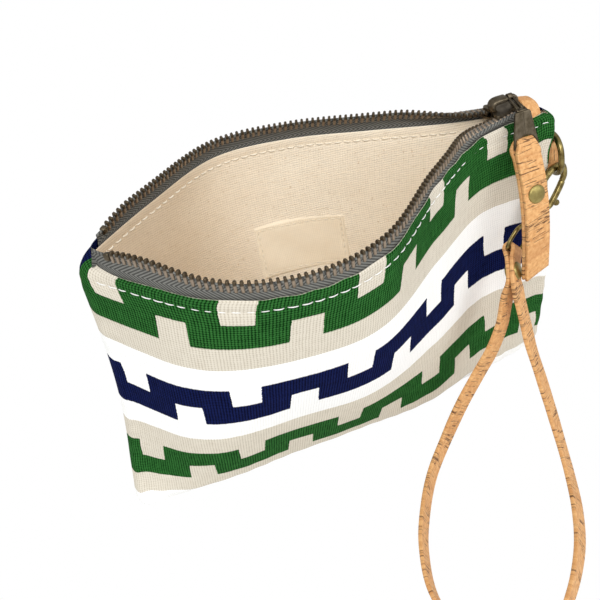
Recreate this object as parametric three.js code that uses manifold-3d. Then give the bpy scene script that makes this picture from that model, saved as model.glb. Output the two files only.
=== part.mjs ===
// Zipped canvas wristlet standing open on its bottom seam, with a cork wrist strap on a swivel clasp.
// Millimetres, +Z up, X along the mouth from left to right, the printed front wall towards -Y.
import * as THREE from 'three';
import { mergeVertices } from 'three/addons/utils/BufferGeometryUtils.js';
import Module from 'manifold-3d';

const wasm = await Module();
wasm.setup();

// Clearance between pieces that touch
const GAP = 0.3;

// Bag walls: sizes of the sewn panels
const SEAM_WIDTH = 242;
const MOUTH_WIDTH = 212;
const WALL_HEIGHT = 149;
const PANEL_THICKNESS = 1.1;
const LINING_THICKNESS = 0.6;
const LOWER_CORNER = 8;
const UPPER_CORNER = 6;
const SEAM_ALLOWANCE = 2.4;
const LINING_DROP = 3.5;

// Standing form of the two walls: depth of each wall at seven stations across its width, and how much its
// lean lowers its lip, from 0 for a wall that stays as tall to 1 for one that stays straight
const WAIST_LEVEL = 0.4;
const TUCK_LEVEL = 0.06;
const SEAM_BOW = [2, -8, -9, -9, -10, -8, -3];
const FRONT_WALL = {
  side: -1,
  foot: [2, -12, -13, -15, -17.5, -8.5, -3],
  waist: [-1, -27, -32.5, -34, -21.5, -6.5, -8],
  lip: [0, -37, -49.5, -44, -20.5, -2.5, 6],
  sag: 0.5,
};
const BACK_WALL = {
  side: 1,
  foot: [2, -6, -7, -7, -8, -6, -3],
  waist: [-1, 17, 30, 30, 18, 5, -8],
  lip: [0, 28, 51, 48, 33.5, 18.5, 10],
  sag: 0.2,
};

// Sewn label on the back lining
const LABEL_WIDTH = 45;
const LABEL_HEIGHT = 27;
const LABEL_THICKNESS = 0.5;
const LABEL_CENTRE_X = -1.5;
const LABEL_CENTRE_Z = 89;

// Zip: metal teeth on woven tape
const TOOTH_PITCH = 2.5;
const TOOTH_THICKNESS = 0.95;
const TOOTH_HEIGHT = 2.4;
const TOOTH_REACH = 2.2;
const TOOTH_BITE = 0.3;
const TOOTH_LAP = 0.4;
const TAPE_THICKNESS = 0.7;
const TAPE_SEWN = 9;
const TAPE_SHOWN = 5;
const TAPE_FLAT = 3;
const TAPE_LEAN = 15;
const CHAIN_Y = 7.5;
const CHAIN_RISE = 3;
const CHAIN_SPREAD = 0.25;
const ZIP_LEFT_MARGIN = 11;
const ZIP_RIGHT_MARGIN = 9;
const ZIP_PARTING = 35;
const STOP_LENGTH = 2.6;
const STOP_GRIP = 1.8;
const STOP_WALL = 0.8;

// Slider
const SLIDER_MARGIN = 12;
const SLIDER_LENGTH = 14;
const SLIDER_PLATE = 1;
const SLIDER_FLANGE = 0.8;
const SLIDER_SLOT = 1.5;
const SLIDER_POST = 1.8;
const SLIDER_POST_LENGTH = 5.3;
const BRIDGE_WIDTH = 2;
const BRIDGE_BAR = 1.2;
const BRIDGE_HEIGHT = 4.2;
const BRIDGE_SPAN = 6;

// Puller and its cork strip
const PULLER_PLATE_LENGTH = 15.4;
const PULLER_NECK = 3.4;
const PULLER_NECK_LENGTH = 10.2;
const PULLER_TOP_WIDTH = 6.6;
const PULLER_CORNER = 1;
const PULLER_FOOT_WIDTH = 14.8;
const PULLER_THICKNESS = 1.3;
const PULLER_LUG_WALL = 0.9;
const PULLER_BAR = 1.3;
const PULLER_WINDOW = 6.5;
const PULLER_DROOP = 14;
const PULLER_BEND = 53;
const PULL_STRIP_WIDTH = 11;
const PULL_STRIP_LENGTH = 60.4;
const PULL_STRIP_LEAN = 20;
const PULL_STRIP_SLANT = 20;
const CORK_THICKNESS = 1.9;

// Rivets
const RIVET_CAP = 8.6;
const RIVET_POST = 2.2;
const RIVET_CAP_RISE = 1.1;
const PULL_RIVET_DROP = 20.6;
const STRAP_RIVET_DROP = 10.5;

// Zip end tab and ring tab, both cork
const TAB_THICKNESS = 1.6;
const END_TAB_WIDTH = 12;
const END_TAB_LENGTH = 9.5;
const END_TAB_SETBACK = 1.2;
const END_TAB_TUCK = 1.5;
const RING_TAB_HEIGHT = 13;
const RING_TAB_REACH = 5.5;
const RING_TAB_DROP = 22.5;

// Ring of round wire
const RING_WIRE = 2.8;
const RING_BAR_LENGTH = 18.6;
const RING_DEPTH = 11.5;
const RING_SWING = 107;

// Swivel clasp
const HOOK_HEIGHT = 32;
const HOOK_REACH = 6;
const HOOK_WIRE = 3;
const BARREL_RADIUS = 3.4;
const BARREL_LENGTH = 6;
const POST_RADIUS = 1.2;
const GATE_WIRE = 2.4;
const GATE_PIN = 1.4;
const EYE_WIRE = 2;
const EYE_LENGTH = 14.8;
const CLASP_AXIS = new THREE.Vector3(-0.677, -0.234, -0.698).normalize();
const CLASP_FACE = new THREE.Vector3(0, -1, 0);
const EYE_FACE = new THREE.Vector3(-0.682, -0.153, 0.713);

// Wrist strap
const STRAP_WIDTH = 10;
const STRAP_REACH = 130;
const STRAP_LEAN = 8;
const STRAP_REST = 5.2;
const STRAP_DROP = new THREE.Vector3(-0.208, -0.677, -0.706);

// Depths of the layers of a wall, measured inward from its outer face
const TAPE_OUTER = PANEL_THICKNESS + GAP;
const TAPE_INNER = TAPE_OUTER + TAPE_THICKNESS;
const LINING_OUTER = TAPE_INNER + GAP;
const LINING_INNER = LINING_OUTER + LINING_THICKNESS;
const WALL_BUILD = LINING_INNER + GAP / 2;

// Distance of each tape's edge from the closed chain's centre line, and where the rows part
const CHAIN_HALF_GAP = TOOTH_REACH - TOOTH_LAP;
const CHAIN_Z = WALL_HEIGHT + CHAIN_RISE;
const ZIP_LEFT = ZIP_LEFT_MARGIN - MOUTH_WIDTH / 2;
const ZIP_RIGHT = MOUTH_WIDTH / 2 - ZIP_RIGHT_MARGIN;
const SLIDER_TAIL = MOUTH_WIDTH / 2 - SLIDER_MARGIN;
const SLIDER_THROAT = SLIDER_TAIL - SLIDER_LENGTH;
const MERGE_X = SLIDER_TAIL - SLIDER_LENGTH / 4;

const radians = THREE.MathUtils.degToRad;
const clamp = THREE.MathUtils.clamp;
const lerp = THREE.MathUtils.lerp;
const smoothstep = THREE.MathUtils.smoothstep;
const point = (x, y, z) => new THREE.Vector3(x, y, z);
const range = (count, from, to) => Array.from({ length: count }, (_, i) => lerp(from, to, i / (count - 1)));

const turned = (profile, sides) => {
  return new THREE.LatheGeometry(profile.map(([x, y]) => new THREE.Vector2(x, y)), sides);
};

// Geometry helpers

function closedSurface(positions, triangles) {
  const geometry = new THREE.BufferGeometry();
  const numbers = positions.flatMap((p) => p.toArray());
  geometry.setAttribute('position', new THREE.Float32BufferAttribute(numbers, 3));
  const corner = (i) => positions[i];
  const volume = triangles.reduce((sum, [a, b, c]) => {
    return sum + corner(a).dot(new THREE.Vector3().crossVectors(corner(b), corner(c)));
  }, 0);
  const ordered = volume < 0 ? triangles.map(([a, b, c]) => [a, c, b]) : triangles;
  geometry.setIndex(ordered.flat());
  return geometry;
}

// Skin through a row of rings that all have the same even number of points; each end is closed
// across the ring, from its first half to its second
function loft(rings, closed = false) {
  const size = rings[0].length;
  const triangles = [];
  const at = (i, j) => (i % rings.length) * size + (j % size);
  const spans = closed ? rings.length : rings.length - 1;
  for (let i = 0; i < spans; i += 1) {
    for (let j = 0; j < size; j += 1) {
      triangles.push([at(i, j), at(i + 1, j), at(i + 1, j + 1)]);
      triangles.push([at(i, j), at(i + 1, j + 1), at(i, j + 1)]);
    }
  }
  for (let j = 0; j < size / 2 - 1 && !closed; j += 1) {
    const last = rings.length - 1;
    const far = size - 1 - j;
    triangles.push([at(0, j), at(0, j + 1), at(0, far - 1)]);
    triangles.push([at(0, j), at(0, far - 1), at(0, far)]);
    triangles.push([at(last, j), at(last, far - 1), at(last, j + 1)]);
    triangles.push([at(last, j), at(last, far), at(last, far - 1)]);
  }
  return closedSurface(rings.flat(), triangles);
}

// Solid between two faces given as grids of points
function sheet(outer, inner) {
  const rows = outer.length;
  const columns = outer[0].length;
  const count = rows * columns;
  const triangles = [];
  const quad = (a, b, c, d) => triangles.push([a, b, c], [a, c, d]);
  const front = (i, j) => i * columns + j;
  const rear = (i, j) => count + front(i, j);
  for (let i = 0; i < rows - 1; i += 1) {
    for (let j = 0; j < columns - 1; j += 1) {
      quad(front(i, j), front(i, j + 1), front(i + 1, j + 1), front(i + 1, j));
      quad(rear(i, j), rear(i + 1, j), rear(i + 1, j + 1), rear(i, j + 1));
    }
  }
  for (let j = 0; j < columns - 1; j += 1) {
    quad(front(0, j), rear(0, j), rear(0, j + 1), front(0, j + 1));
    quad(front(rows - 1, j), front(rows - 1, j + 1), rear(rows - 1, j + 1), rear(rows - 1, j));
  }
  for (let i = 0; i < rows - 1; i += 1) {
    quad(front(i, 0), front(i + 1, 0), rear(i + 1, 0), rear(i, 0));
    quad(front(i, columns - 1), rear(i, columns - 1), rear(i + 1, columns - 1), front(i + 1, columns - 1));
  }
  return closedSurface([...outer.flat(), ...inner.flat()], triangles);
}

function solid(geometry) {
  const bare = geometry.clone();
  bare.deleteAttribute('normal');
  bare.deleteAttribute('uv');
  const welded = mergeVertices(bare, 1e-4);
  return new wasm.Manifold(new wasm.Mesh({
    numProp: 3,
    vertProperties: Float32Array.from(welded.attributes.position.array),
    triVerts: Uint32Array.from(welded.index.array),
  }));
}

function fromSolid(manifold) {
  const mesh = manifold.getMesh();
  const geometry = new THREE.BufferGeometry();
  geometry.setAttribute('position', new THREE.Float32BufferAttribute(mesh.vertProperties, 3));
  geometry.setIndex(Array.from(mesh.triVerts));
  return geometry;
}

const join = (...geometries) => fromSolid(geometries.map(solid).reduce((sum, next) => sum.add(next)));
const cut = (geometry, ...tools) => {
  return fromSolid(tools.map(solid).reduce((rest, tool) => rest.subtract(tool), solid(geometry)));
};

function box(width, depth, height, x, y, z) {
  return new THREE.BoxGeometry(width, depth, height).translate(x, y, z);
}

// Round bar along Z from one level to another
function rod(radius, from, to, sides = 16) {
  const upright = new THREE.CylinderGeometry(radius, radius, to - from, sides).rotateX(Math.PI / 2);
  return upright.translate(0, 0, (from + to) / 2);
}

// Plate in the XY plane, centred on Z
function plate(outline, thickness, steps = 6) {
  const settings = { depth: thickness, bevelEnabled: false, curveSegments: steps };
  return new THREE.ExtrudeGeometry(outline, settings).translate(0, 0, -thickness / 2);
}

// Round wire along a path in the XY plane, with its own radius at each point
function planarWire(path, radii, sides, closed) {
  const rings = path.map((place, i) => {
    const before = path[closed ? (i + path.length - 1) % path.length : Math.max(i - 1, 0)];
    const after = path[closed ? (i + 1) % path.length : Math.min(i + 1, path.length - 1)];
    const along = after.clone().sub(before).normalize();
    return range(sides + 1, 0, 2 * Math.PI).slice(0, sides).map((angle) => {
      const across = Math.cos(angle) * radii[i];
      return point(place.x - along.y * across, place.y + along.x * across, Math.sin(angle) * radii[i]);
    });
  });
  return loft(rings, closed);
}

function frameFrom(origin, xAxis, yAxis, zAxis) {
  const holder = new THREE.Group();
  holder.applyMatrix4(new THREE.Matrix4().makeBasis(xAxis, yAxis, zAxis).setPosition(origin));
  return holder;
}

// Materials
const paint = (color, roughness, metalness) => {
  return new THREE.MeshStandardMaterial({ color, roughness, metalness });
};
const CANVAS_PRINT = paint(0x23602c, 0.9, 0);
const CANVAS_BACK = paint(0x141c48, 0.9, 0);
const LINING_CLOTH = paint(0xe0cca8, 0.95, 0);
const LABEL_CLOTH = paint(0xe6d6b4, 0.9, 0);
const ZIP_TAPE = paint(0x6c6c66, 0.85, 0);
const ANTIQUE_BRASS = paint(0x5d5237, 0.4, 0.9);
const BRASS = paint(0xb39a55, 0.35, 0.95);
const CORK = paint(0xe0b47e, 0.75, 0);

const wristlet = new THREE.Group();

function add(name, geometry, material, parent = wristlet) {
  const mesh = new THREE.Mesh(geometry, material);
  mesh.name = name;
  geometry.computeVertexNormals();
  parent.add(mesh);
  return mesh;
}

// Bag walls

// Smooth curve through equally spaced values, read at a share of its length
function throughStations(values, share) {
  const last = values.length - 1;
  const place = clamp(share, 0, 1) * last;
  const i = Math.min(Math.floor(place), last - 1);
  const u = place - i;
  const p1 = values[i];
  const p2 = values[i + 1];
  const p0 = i > 0 ? values[i - 1] : 2 * p1 - p2;
  const p3 = i + 2 <= last ? values[i + 2] : 2 * p2 - p1;
  const slope1 = (p2 - p0) / 2;
  const slope2 = (p3 - p1) / 2;
  const c3 = 2 * (p1 - p2) + slope1 + slope2;
  const c2 = 3 * (p2 - p1) - 2 * slope1 - slope2;
  return ((c3 * u + c2) * u + slope1) * u + p1;
}

// Middle of the wall's layers: a smooth rise from the foot through the waist to the lip
function wallDepth(wall, share, level) {
  const foot = throughStations(wall.foot, share);
  const waist = throughStations(wall.waist, share);
  const lip = throughStations(wall.lip, share);
  const footPart = ((level - WAIST_LEVEL) * (level - 1)) / WAIST_LEVEL;
  const waistPart = (level * (level - 1)) / (WAIST_LEVEL * (WAIST_LEVEL - 1));
  const lipPart = (level * (level - WAIST_LEVEL)) / (1 - WAIST_LEVEL);
  const free = foot * footPart + waist * waistPart + lip * lipPart;
  return lerp(throughStations(SEAM_BOW, share), free, smoothstep(level, 0, TUCK_LEVEL));
}

// A wall that leans out stands a little lower
function wallRise(wall, share) {
  const lean = throughStations(wall.lip, share) - throughStations(SEAM_BOW, share);
  return Math.sqrt(WALL_HEIGHT ** 2 - wall.sag * lean ** 2);
}

function roundedOff(radius, height) {
  const rest = Math.max(radius - height, 0);
  return radius - Math.sqrt(Math.max(radius ** 2 - rest ** 2, 0));
}

function acrossWall(share, level) {
  const q = 2 * share - 1;
  const half = lerp(SEAM_WIDTH, MOUTH_WIDTH, level) / 2;
  const lower = roundedOff(LOWER_CORNER, level * WALL_HEIGHT);
  const upper = roundedOff(UPPER_CORNER, (1 - level) * WALL_HEIGHT);
  const nearEnd = Math.max((Math.abs(q) - 0.88) / 0.12, 0) ** 2;
  return half * q - Math.sign(q) * (lower + upper) * nearEnd;
}

// Share of the lip's width at which it reaches a given x
function lipShare(x) {
  let low = 0;
  let high = 1;
  for (let i = 0; i < 40; i += 1) {
    const middle = (low + high) / 2;
    if (acrossWall(middle, 1) < x) low = middle;
    else high = middle;
  }
  return low;
}

function wallPoint(wall, share, level, depth) {
  const y = wallDepth(wall, share, level) + wall.side * (WALL_BUILD - depth);
  return point(acrossWall(share, level), y, level * wallRise(wall, share));
}

// Inner edge of the turned seam allowance, which meets the other wall's
function seamPoint(wall, share, level) {
  const middle = (wallDepth(FRONT_WALL, share, level) + wallDepth(BACK_WALL, share, level)) / 2;
  return point(acrossWall(share, level), middle + wall.side * GAP * 0.75, level * wallRise(wall, share));
}

const ALLOWANCE_SHARE = SEAM_ALLOWANCE / SEAM_WIDTH;
const ALLOWANCE_LEVEL = SEAM_ALLOWANCE / WALL_HEIGHT;
const TAPE_FOOT = 1 - TAPE_SEWN / WALL_HEIGHT;
const LINING_TOP = 1 - LINING_DROP / WALL_HEIGHT;
const ZIP_ENDS = [lipShare(ZIP_LEFT), lipShare(ZIP_RIGHT)];
const CHAIN_BENDS = [SLIDER_THROAT, MERGE_X].map(lipShare);
const COLUMNS = [...range(21, 0, 1).slice(1, -1), ...ZIP_ENDS, ...CHAIN_BENDS].sort((a, b) => a - b);
const ROWS = [0.055, 0.17, 0.38, 0.6, 0.8];

function panel(wall) {
  const inset = ALLOWANCE_SHARE * 1.3;
  const shares = [0, ALLOWANCE_SHARE, inset, ...COLUMNS, 1 - inset, 1 - ALLOWANCE_SHARE, 1];
  const levels = [0, ALLOWANCE_LEVEL, ALLOWANCE_LEVEL * 1.3, ...ROWS, TAPE_FOOT, LINING_TOP, 1];
  const inAllowance = (share, level) => {
    return Math.min(share, 1 - share) <= ALLOWANCE_SHARE || level <= ALLOWANCE_LEVEL;
  };
  const outer = levels.map((level) => shares.map((share) => wallPoint(wall, share, level, 0)));
  const inner = levels.map((level) => shares.map((share) => {
    if (inAllowance(share, level)) return seamPoint(wall, share, level);
    return wallPoint(wall, share, level, PANEL_THICKNESS);
  }));
  return sheet(outer, inner);
}

// The lining has a fold line wherever a label's edge is sewn to it
function lining(wall, sewnOn = { shares: [], levels: [] }) {
  const edge = ALLOWANCE_SHARE * 1.8;
  const shares = [edge, ...COLUMNS, ...sewnOn.shares, 1 - edge].sort((a, b) => a - b);
  const levels = [ALLOWANCE_LEVEL * 2, ...ROWS, ...sewnOn.levels, TAPE_FOOT, LINING_TOP];
  levels.sort((a, b) => a - b);
  const face = (depth) => levels.map((level) => shares.map((share) => wallPoint(wall, share, level, depth)));
  return sheet(face(LINING_OUTER), face(LINING_INNER));
}

// Edges of the label, as shares of the wall's width and levels of its height
function labelEdges(wall) {
  const shareOf = (x) => 0.5 + (x / (SEAM_WIDTH + MOUTH_WIDTH)) * 2;
  const rise = wallRise(wall, shareOf(LABEL_CENTRE_X));
  return {
    shares: [-1, 1].map((end) => shareOf(LABEL_CENTRE_X + (end * LABEL_WIDTH) / 2)),
    levels: [-1, 1].map((end) => (LABEL_CENTRE_Z + (end * LABEL_HEIGHT) / 2) / rise),
  };
}

function label(wall, edges) {
  const within = (values, [low, high]) => {
    return [low, ...values.filter((value) => value > low && value < high), high];
  };
  const shares = within(COLUMNS, edges.shares);
  const levels = within(ROWS, edges.levels);
  const face = (depth) => levels.map((level) => shares.map((share) => wallPoint(wall, share, level, depth)));
  return sheet(face(LINING_INNER + GAP), face(LINING_INNER + GAP + LABEL_THICKNESS));
}

add('front_panel', panel(FRONT_WALL), CANVAS_PRINT);
add('back_panel', panel(BACK_WALL), CANVAS_BACK);
add('front_lining', lining(FRONT_WALL), LINING_CLOTH);
const sewnLabel = labelEdges(BACK_WALL);
add('back_lining', lining(BACK_WALL, sewnLabel), LINING_CLOTH);
add('label', label(BACK_WALL, sewnLabel), LABEL_CLOTH);

// Zip

// Cross-section of one tape at a share of the lip's width
function tapeSection(wall, share) {
  const layer = (TAPE_OUTER + TAPE_INNER) / 2;
  const foot = wallPoint(wall, share, TAPE_FOOT, layer);
  const rise = wallPoint(wall, share, LINING_TOP, layer);
  const lip = wallPoint(wall, share, 1, layer);
  const closed = smoothstep(lip.x, SLIDER_THROAT - ZIP_PARTING, SLIDER_THROAT - 3);
  const lean = radians(lerp(TAPE_LEAN, 90, closed));
  const towards = point(0, -wall.side * Math.sin(lean), Math.cos(lean));
  const leaning = point(0, -wall.side * Math.sin(radians(TAPE_LEAN)), 1);
  const openEdge = lip.clone().addScaledVector(leaning, TAPE_SHOWN);
  const halfGap = CHAIN_HALF_GAP + CHAIN_SPREAD * Math.max(MERGE_X - lip.x, 0);
  const closedEdge = point(lip.x, CHAIN_Y + wall.side * halfGap, CHAIN_Z);
  const edge = openEdge.lerp(closedEdge, closed);
  const shoulder = edge.clone().addScaledVector(towards, -TAPE_FLAT);
  return { foot, rise, lip, shoulder, edge, towards };
}

function tape(wall, shares) {
  const rings = shares.map((share) => {
    const { foot, rise, lip, shoulder, edge, towards } = tapeSection(wall, share);
    const half = TAPE_THICKNESS / 2;
    const flat = point(0, wall.side * towards.z, Math.abs(towards.y)).multiplyScalar(half);
    const upright = point(0, wall.side * half, 0);
    const bend = flat.clone().add(upright).normalize().multiplyScalar(half);
    const offsets = [[foot, upright], [rise, upright], [lip, upright], [shoulder, bend], [edge, flat]];
    const outer = offsets.map(([place, offset]) => place.clone().add(offset));
    const inner = offsets.map(([place, offset]) => place.clone().sub(offset)).reverse();
    return [...outer, ...inner];
  });
  return loft(rings);
}

// Places along the tape's edge, one tooth pitch apart, counted from the closed end
function toothPlaces(wall, firstStep) {
  const from = lipShare(ZIP_RIGHT - 1.5);
  const to = lipShare(ZIP_LEFT + 1);
  const trail = range(400, from, to).map((share) => ({ share, ...tapeSection(wall, share) }));
  const places = [];
  let walked = 0;
  let next = firstStep;
  for (let i = 1; i < trail.length; i += 1) {
    const step = trail[i].edge.distanceTo(trail[i - 1].edge);
    if (walked + step >= next) {
      const along = trail[i - 1].edge.clone().sub(trail[i].edge).normalize();
      const edge = trail[i - 1].edge.clone().addScaledVector(along, walked - next);
      places.push({ edge, towards: trail[i].towards, along });
      next += TOOTH_PITCH;
    }
    walked += step;
  }
  return places;
}

// Box seated on the tape's edge, reaching back over the tape and forward past it
function onEdge({ edge, towards, along }, length, back, ahead, height) {
  const upward = new THREE.Vector3().crossVectors(along, towards).normalize();
  const across = new THREE.Vector3().crossVectors(upward, along);
  const seat = new THREE.Matrix4().makeBasis(along, across, upward).setPosition(edge);
  return box(length, back + ahead, height, 0, (ahead - back) / 2, 0).applyMatrix4(seat);
}

function stringer(wall, firstStep) {
  const shares = COLUMNS.filter((share) => share >= ZIP_ENDS[0] && share <= ZIP_ENDS[1]);
  const places = toothPlaces(wall, firstStep);
  const toothed = places.slice(0, -2);
  const teeth = toothed.map((place) => onEdge(place, TOOTH_THICKNESS, TOOTH_BITE, TOOTH_REACH, TOOTH_HEIGHT));
  return { geometry: join(tape(wall, shares), ...teeth), last: places.at(-1) };
}

// Metal clip that ends a row of teeth, folded round the edge of the tape
function topStop(place) {
  const body = onEdge(place, STOP_LENGTH, STOP_GRIP, GAP + STOP_WALL, TAPE_THICKNESS + 2 * (GAP + STOP_WALL));
  const slot = onEdge(place, STOP_LENGTH * 2, STOP_GRIP * 2, GAP, TAPE_THICKNESS + 2 * GAP);
  return cut(body, slot);
}

const frontStringer = stringer(FRONT_WALL, TOOTH_PITCH / 4);
const backStringer = stringer(BACK_WALL, TOOTH_PITCH * 0.75);
add('front_stringer', frontStringer.geometry, ZIP_TAPE);
add('back_stringer', backStringer.geometry, ZIP_TAPE);
add('top_stop_front', topStop(frontStringer.last), ANTIQUE_BRASS);
add('top_stop_back', topStop(backStringer.last), ANTIQUE_BRASS);

// Folded strip lying in the XZ plane: its fold at +X round the origin, its two legs towards -X.
// Past the fold the legs close in to their own half gap.
function hairpin(bend, thickness, upperLeg, lowerLeg, width, halfGap = bend) {
  const outer = bend + thickness;
  const run = 4 * (bend - halfGap);
  const outline = new THREE.Shape();
  outline.moveTo(-upperLeg, halfGap);
  outline.lineTo(-upperLeg, halfGap + thickness);
  outline.lineTo(-run, halfGap + thickness);
  outline.lineTo(0, outer);
  outline.absarc(0, 0, outer, Math.PI / 2, -Math.PI / 2, true);
  outline.lineTo(-run, -halfGap - thickness);
  outline.lineTo(-lowerLeg, -halfGap - thickness);
  outline.lineTo(-lowerLeg, -halfGap);
  outline.lineTo(-run, -halfGap);
  outline.lineTo(0, -bend);
  outline.absarc(0, 0, bend, -Math.PI / 2, Math.PI / 2, false);
  outline.lineTo(-run, halfGap);
  outline.closePath();
  return plate(outline, width).rotateX(Math.PI / 2);
}

// Cork tab folded over the end of the zip
const endTabBend = 1.2;
const endTabLeg = END_TAB_LENGTH - endTabBend - TAB_THICKNESS;
const endTab = hairpin(endTabBend, TAB_THICKNESS, endTabLeg, END_TAB_TUCK, END_TAB_WIDTH);
const endTabZ = CHAIN_Z + TOOTH_HEIGHT / 2 + GAP - endTabBend;
const endTabFold = SLIDER_TAIL + END_TAB_SETBACK + endTabLeg;
const endTabMesh = add('zip_end_tab', endTab, CORK);
endTabMesh.position.set(endTabFold, CHAIN_Y, endTabZ);

// Slider, in its own frame: origin at the middle of the tail, on the chain's centre line
const sliderGroup = new THREE.Group();
sliderGroup.position.set(SLIDER_TAIL, CHAIN_Y, CHAIN_Z);
wristlet.add(sliderGroup);

const channelHalf = TOOTH_HEIGHT / 2 + GAP;
const tailHalf = CHAIN_HALF_GAP + TOOTH_BITE + GAP;
const throatHalf = tailHalf + CHAIN_SPREAD * (MERGE_X - SLIDER_THROAT);

// Outline of the slider in plan: narrow at the tail, wide and rounded at the throat
function sliderOutline(margin) {
  const outline = new THREE.Shape();
  const tail = tailHalf + margin;
  const throat = throatHalf + margin;
  outline.moveTo(0, -tail);
  outline.lineTo(0, tail);
  outline.lineTo(-3.5, tail);
  outline.lineTo(2 - SLIDER_LENGTH, throat);
  outline.quadraticCurveTo(-SLIDER_LENGTH, throat, -SLIDER_LENGTH, throat - 2);
  outline.lineTo(1.5 - SLIDER_LENGTH, 0);
  outline.lineTo(-SLIDER_LENGTH, 2 - throat);
  outline.quadraticCurveTo(-SLIDER_LENGTH, -throat, 2 - SLIDER_LENGTH, -throat);
  outline.lineTo(-3.5, -tail);
  outline.closePath();
  return outline;
}

function sliderBody() {
  const outside = plate(sliderOutline(SLIDER_FLANGE), 2 * (channelHalf + SLIDER_PLATE), 4);
  const channel = plate(sliderOutline(0), 2 * channelHalf, 4).scale(1.5, 1, 1);
  channel.translate(SLIDER_LENGTH * 0.25, 0, 0);
  const slot = box(SLIDER_LENGTH * 3, 6 * throatHalf, SLIDER_SLOT, 0, 0, 0);
  const diamond = new THREE.Shape();
  const nose = SLIDER_FLANGE * 1.5 - SLIDER_LENGTH;
  diamond.moveTo(nose, 0);
  diamond.lineTo(nose + SLIDER_POST_LENGTH / 3, SLIDER_POST / 2);
  diamond.lineTo(nose + SLIDER_POST_LENGTH, 0);
  diamond.lineTo(nose + SLIDER_POST_LENGTH / 3, -SLIDER_POST / 2);
  diamond.closePath();
  const post = plate(diamond, 2 * channelHalf + SLIDER_PLATE);
  return join(cut(outside, channel, slot), post);
}

const BRIDGE_X = -BRIDGE_SPAN / 2 - 1.2;
const bridgeFoot = channelHalf + SLIDER_PLATE + GAP;
const pivotZ = channelHalf + SLIDER_PLATE + BRIDGE_HEIGHT;

// Arched bridge that carries the puller, seated on the slider's top plate
function sliderBridge() {
  const half = BRIDGE_SPAN / 2;
  const top = pivotZ + BRIDGE_BAR / 2;
  const arch = new THREE.Shape();
  arch.moveTo(-half - 1.2, bridgeFoot);
  arch.lineTo(-half - 1.2, top - 1.2);
  arch.quadraticCurveTo(-half - 1, top, -half + 0.6, top);
  arch.lineTo(half - 0.6, top);
  arch.quadraticCurveTo(half + 1, top, half + 1.2, top - 1.6);
  arch.lineTo(half + 1.2, bridgeFoot);
  arch.lineTo(half, bridgeFoot);
  arch.lineTo(half, top - BRIDGE_BAR);
  arch.lineTo(-half, top - BRIDGE_BAR);
  arch.lineTo(-half, bridgeFoot);
  arch.closePath();
  return plate(arch, BRIDGE_WIDTH).rotateX(Math.PI / 2).translate(BRIDGE_X, 0, 0);
}

add('slider_body', sliderBody(), ANTIQUE_BRASS, sliderGroup);
add('slider_bridge', sliderBridge(), ANTIQUE_BRASS, sliderGroup);

// Puller: lug round the bridge, neck along local Y, and a plate bent down from it with a window for the strip
const pullerGroup = new THREE.Group();
pullerGroup.position.set(BRIDGE_X, 0, pivotZ);
pullerGroup.rotation.set(radians(180 + PULLER_DROOP), 0, 0);
sliderGroup.add(pullerGroup);

const lugHole = Math.hypot(BRIDGE_WIDTH, BRIDGE_BAR) / 2 + GAP;
const windowHalf = PULL_STRIP_WIDTH / 2 + GAP + 0.2;

function pullerPlate() {
  const half = PULLER_FOOT_WIDTH / 2;
  const foot = PULLER_PLATE_LENGTH + PULLER_BAR / 2;
  const neck = PULLER_NECK / 2;
  const top = PULLER_TOP_WIDTH / 2;
  const outline = new THREE.Shape();
  outline.moveTo(-neck, 0);
  outline.lineTo(neck, 0);
  outline.lineTo(top, PULLER_CORNER);
  outline.lineTo(half, foot - PULLER_CORNER);
  outline.quadraticCurveTo(half, foot, half - PULLER_CORNER, foot);
  outline.lineTo(PULLER_CORNER - half, foot);
  outline.quadraticCurveTo(-half, foot, -half, foot - PULLER_CORNER);
  outline.lineTo(-top, PULLER_CORNER);
  outline.closePath();
  const opening = new THREE.Path();
  const sill = PULLER_PLATE_LENGTH - PULLER_BAR / 2;
  opening.moveTo(-windowHalf, sill);
  opening.lineTo(windowHalf, sill);
  opening.lineTo(windowHalf, sill - PULLER_WINDOW / 2);
  opening.quadraticCurveTo(windowHalf, sill - PULLER_WINDOW, 0, sill - PULLER_WINDOW);
  opening.quadraticCurveTo(-windowHalf, sill - PULLER_WINDOW, -windowHalf, sill - PULLER_WINDOW / 2);
  opening.closePath();
  outline.holes.push(opening);
  const lug = rod(lugHole + PULLER_LUG_WALL, -neck, neck).rotateY(Math.PI / 2);
  const hole = rod(lugHole, -PULLER_NECK, PULLER_NECK).rotateY(Math.PI / 2);
  const bent = plate(outline, PULLER_THICKNESS, 5).rotateX(radians(PULLER_BEND));
  const bend = rod(PULLER_THICKNESS / 2, -neck, neck).rotateY(Math.PI / 2);
  const reach = PULLER_NECK_LENGTH - lugHole;
  const link = box(PULLER_NECK, reach, PULLER_THICKNESS, 0, lugHole + reach / 2, 0);
  const atBend = [bent, bend].map((shape) => shape.translate(0, PULLER_NECK_LENGTH, 0));
  return cut(join(lug, link, ...atBend), hole);
}

add('puller', pullerPlate(), ANTIQUE_BRASS, pullerGroup);

// Cork strip folded through the puller's window; its group's Z runs down along the strip
const stripGroup = new THREE.Group();
const plateTurn = radians(PULLER_BEND);
const pullerEnd = PULLER_NECK_LENGTH + PULLER_PLATE_LENGTH * Math.cos(plateTurn);
stripGroup.position.set(0, pullerEnd, PULLER_PLATE_LENGTH * Math.sin(plateTurn));
stripGroup.rotation.set(radians(180 - PULL_STRIP_LEAN - PULLER_DROOP), 0, 0);
pullerGroup.add(stripGroup);

const stripBend = Math.max(PULLER_BAR, PULLER_THICKNESS) * 0.71 + GAP;

// Hairpin turned so that its fold is at the origin, its legs run down -Z and its width lies along X
function hangingHairpin(bend, thickness, leg, width, halfGap) {
  return hairpin(bend, thickness, leg, leg, width, halfGap).rotateZ(Math.PI / 2).rotateX(Math.PI / 2);
}

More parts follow.
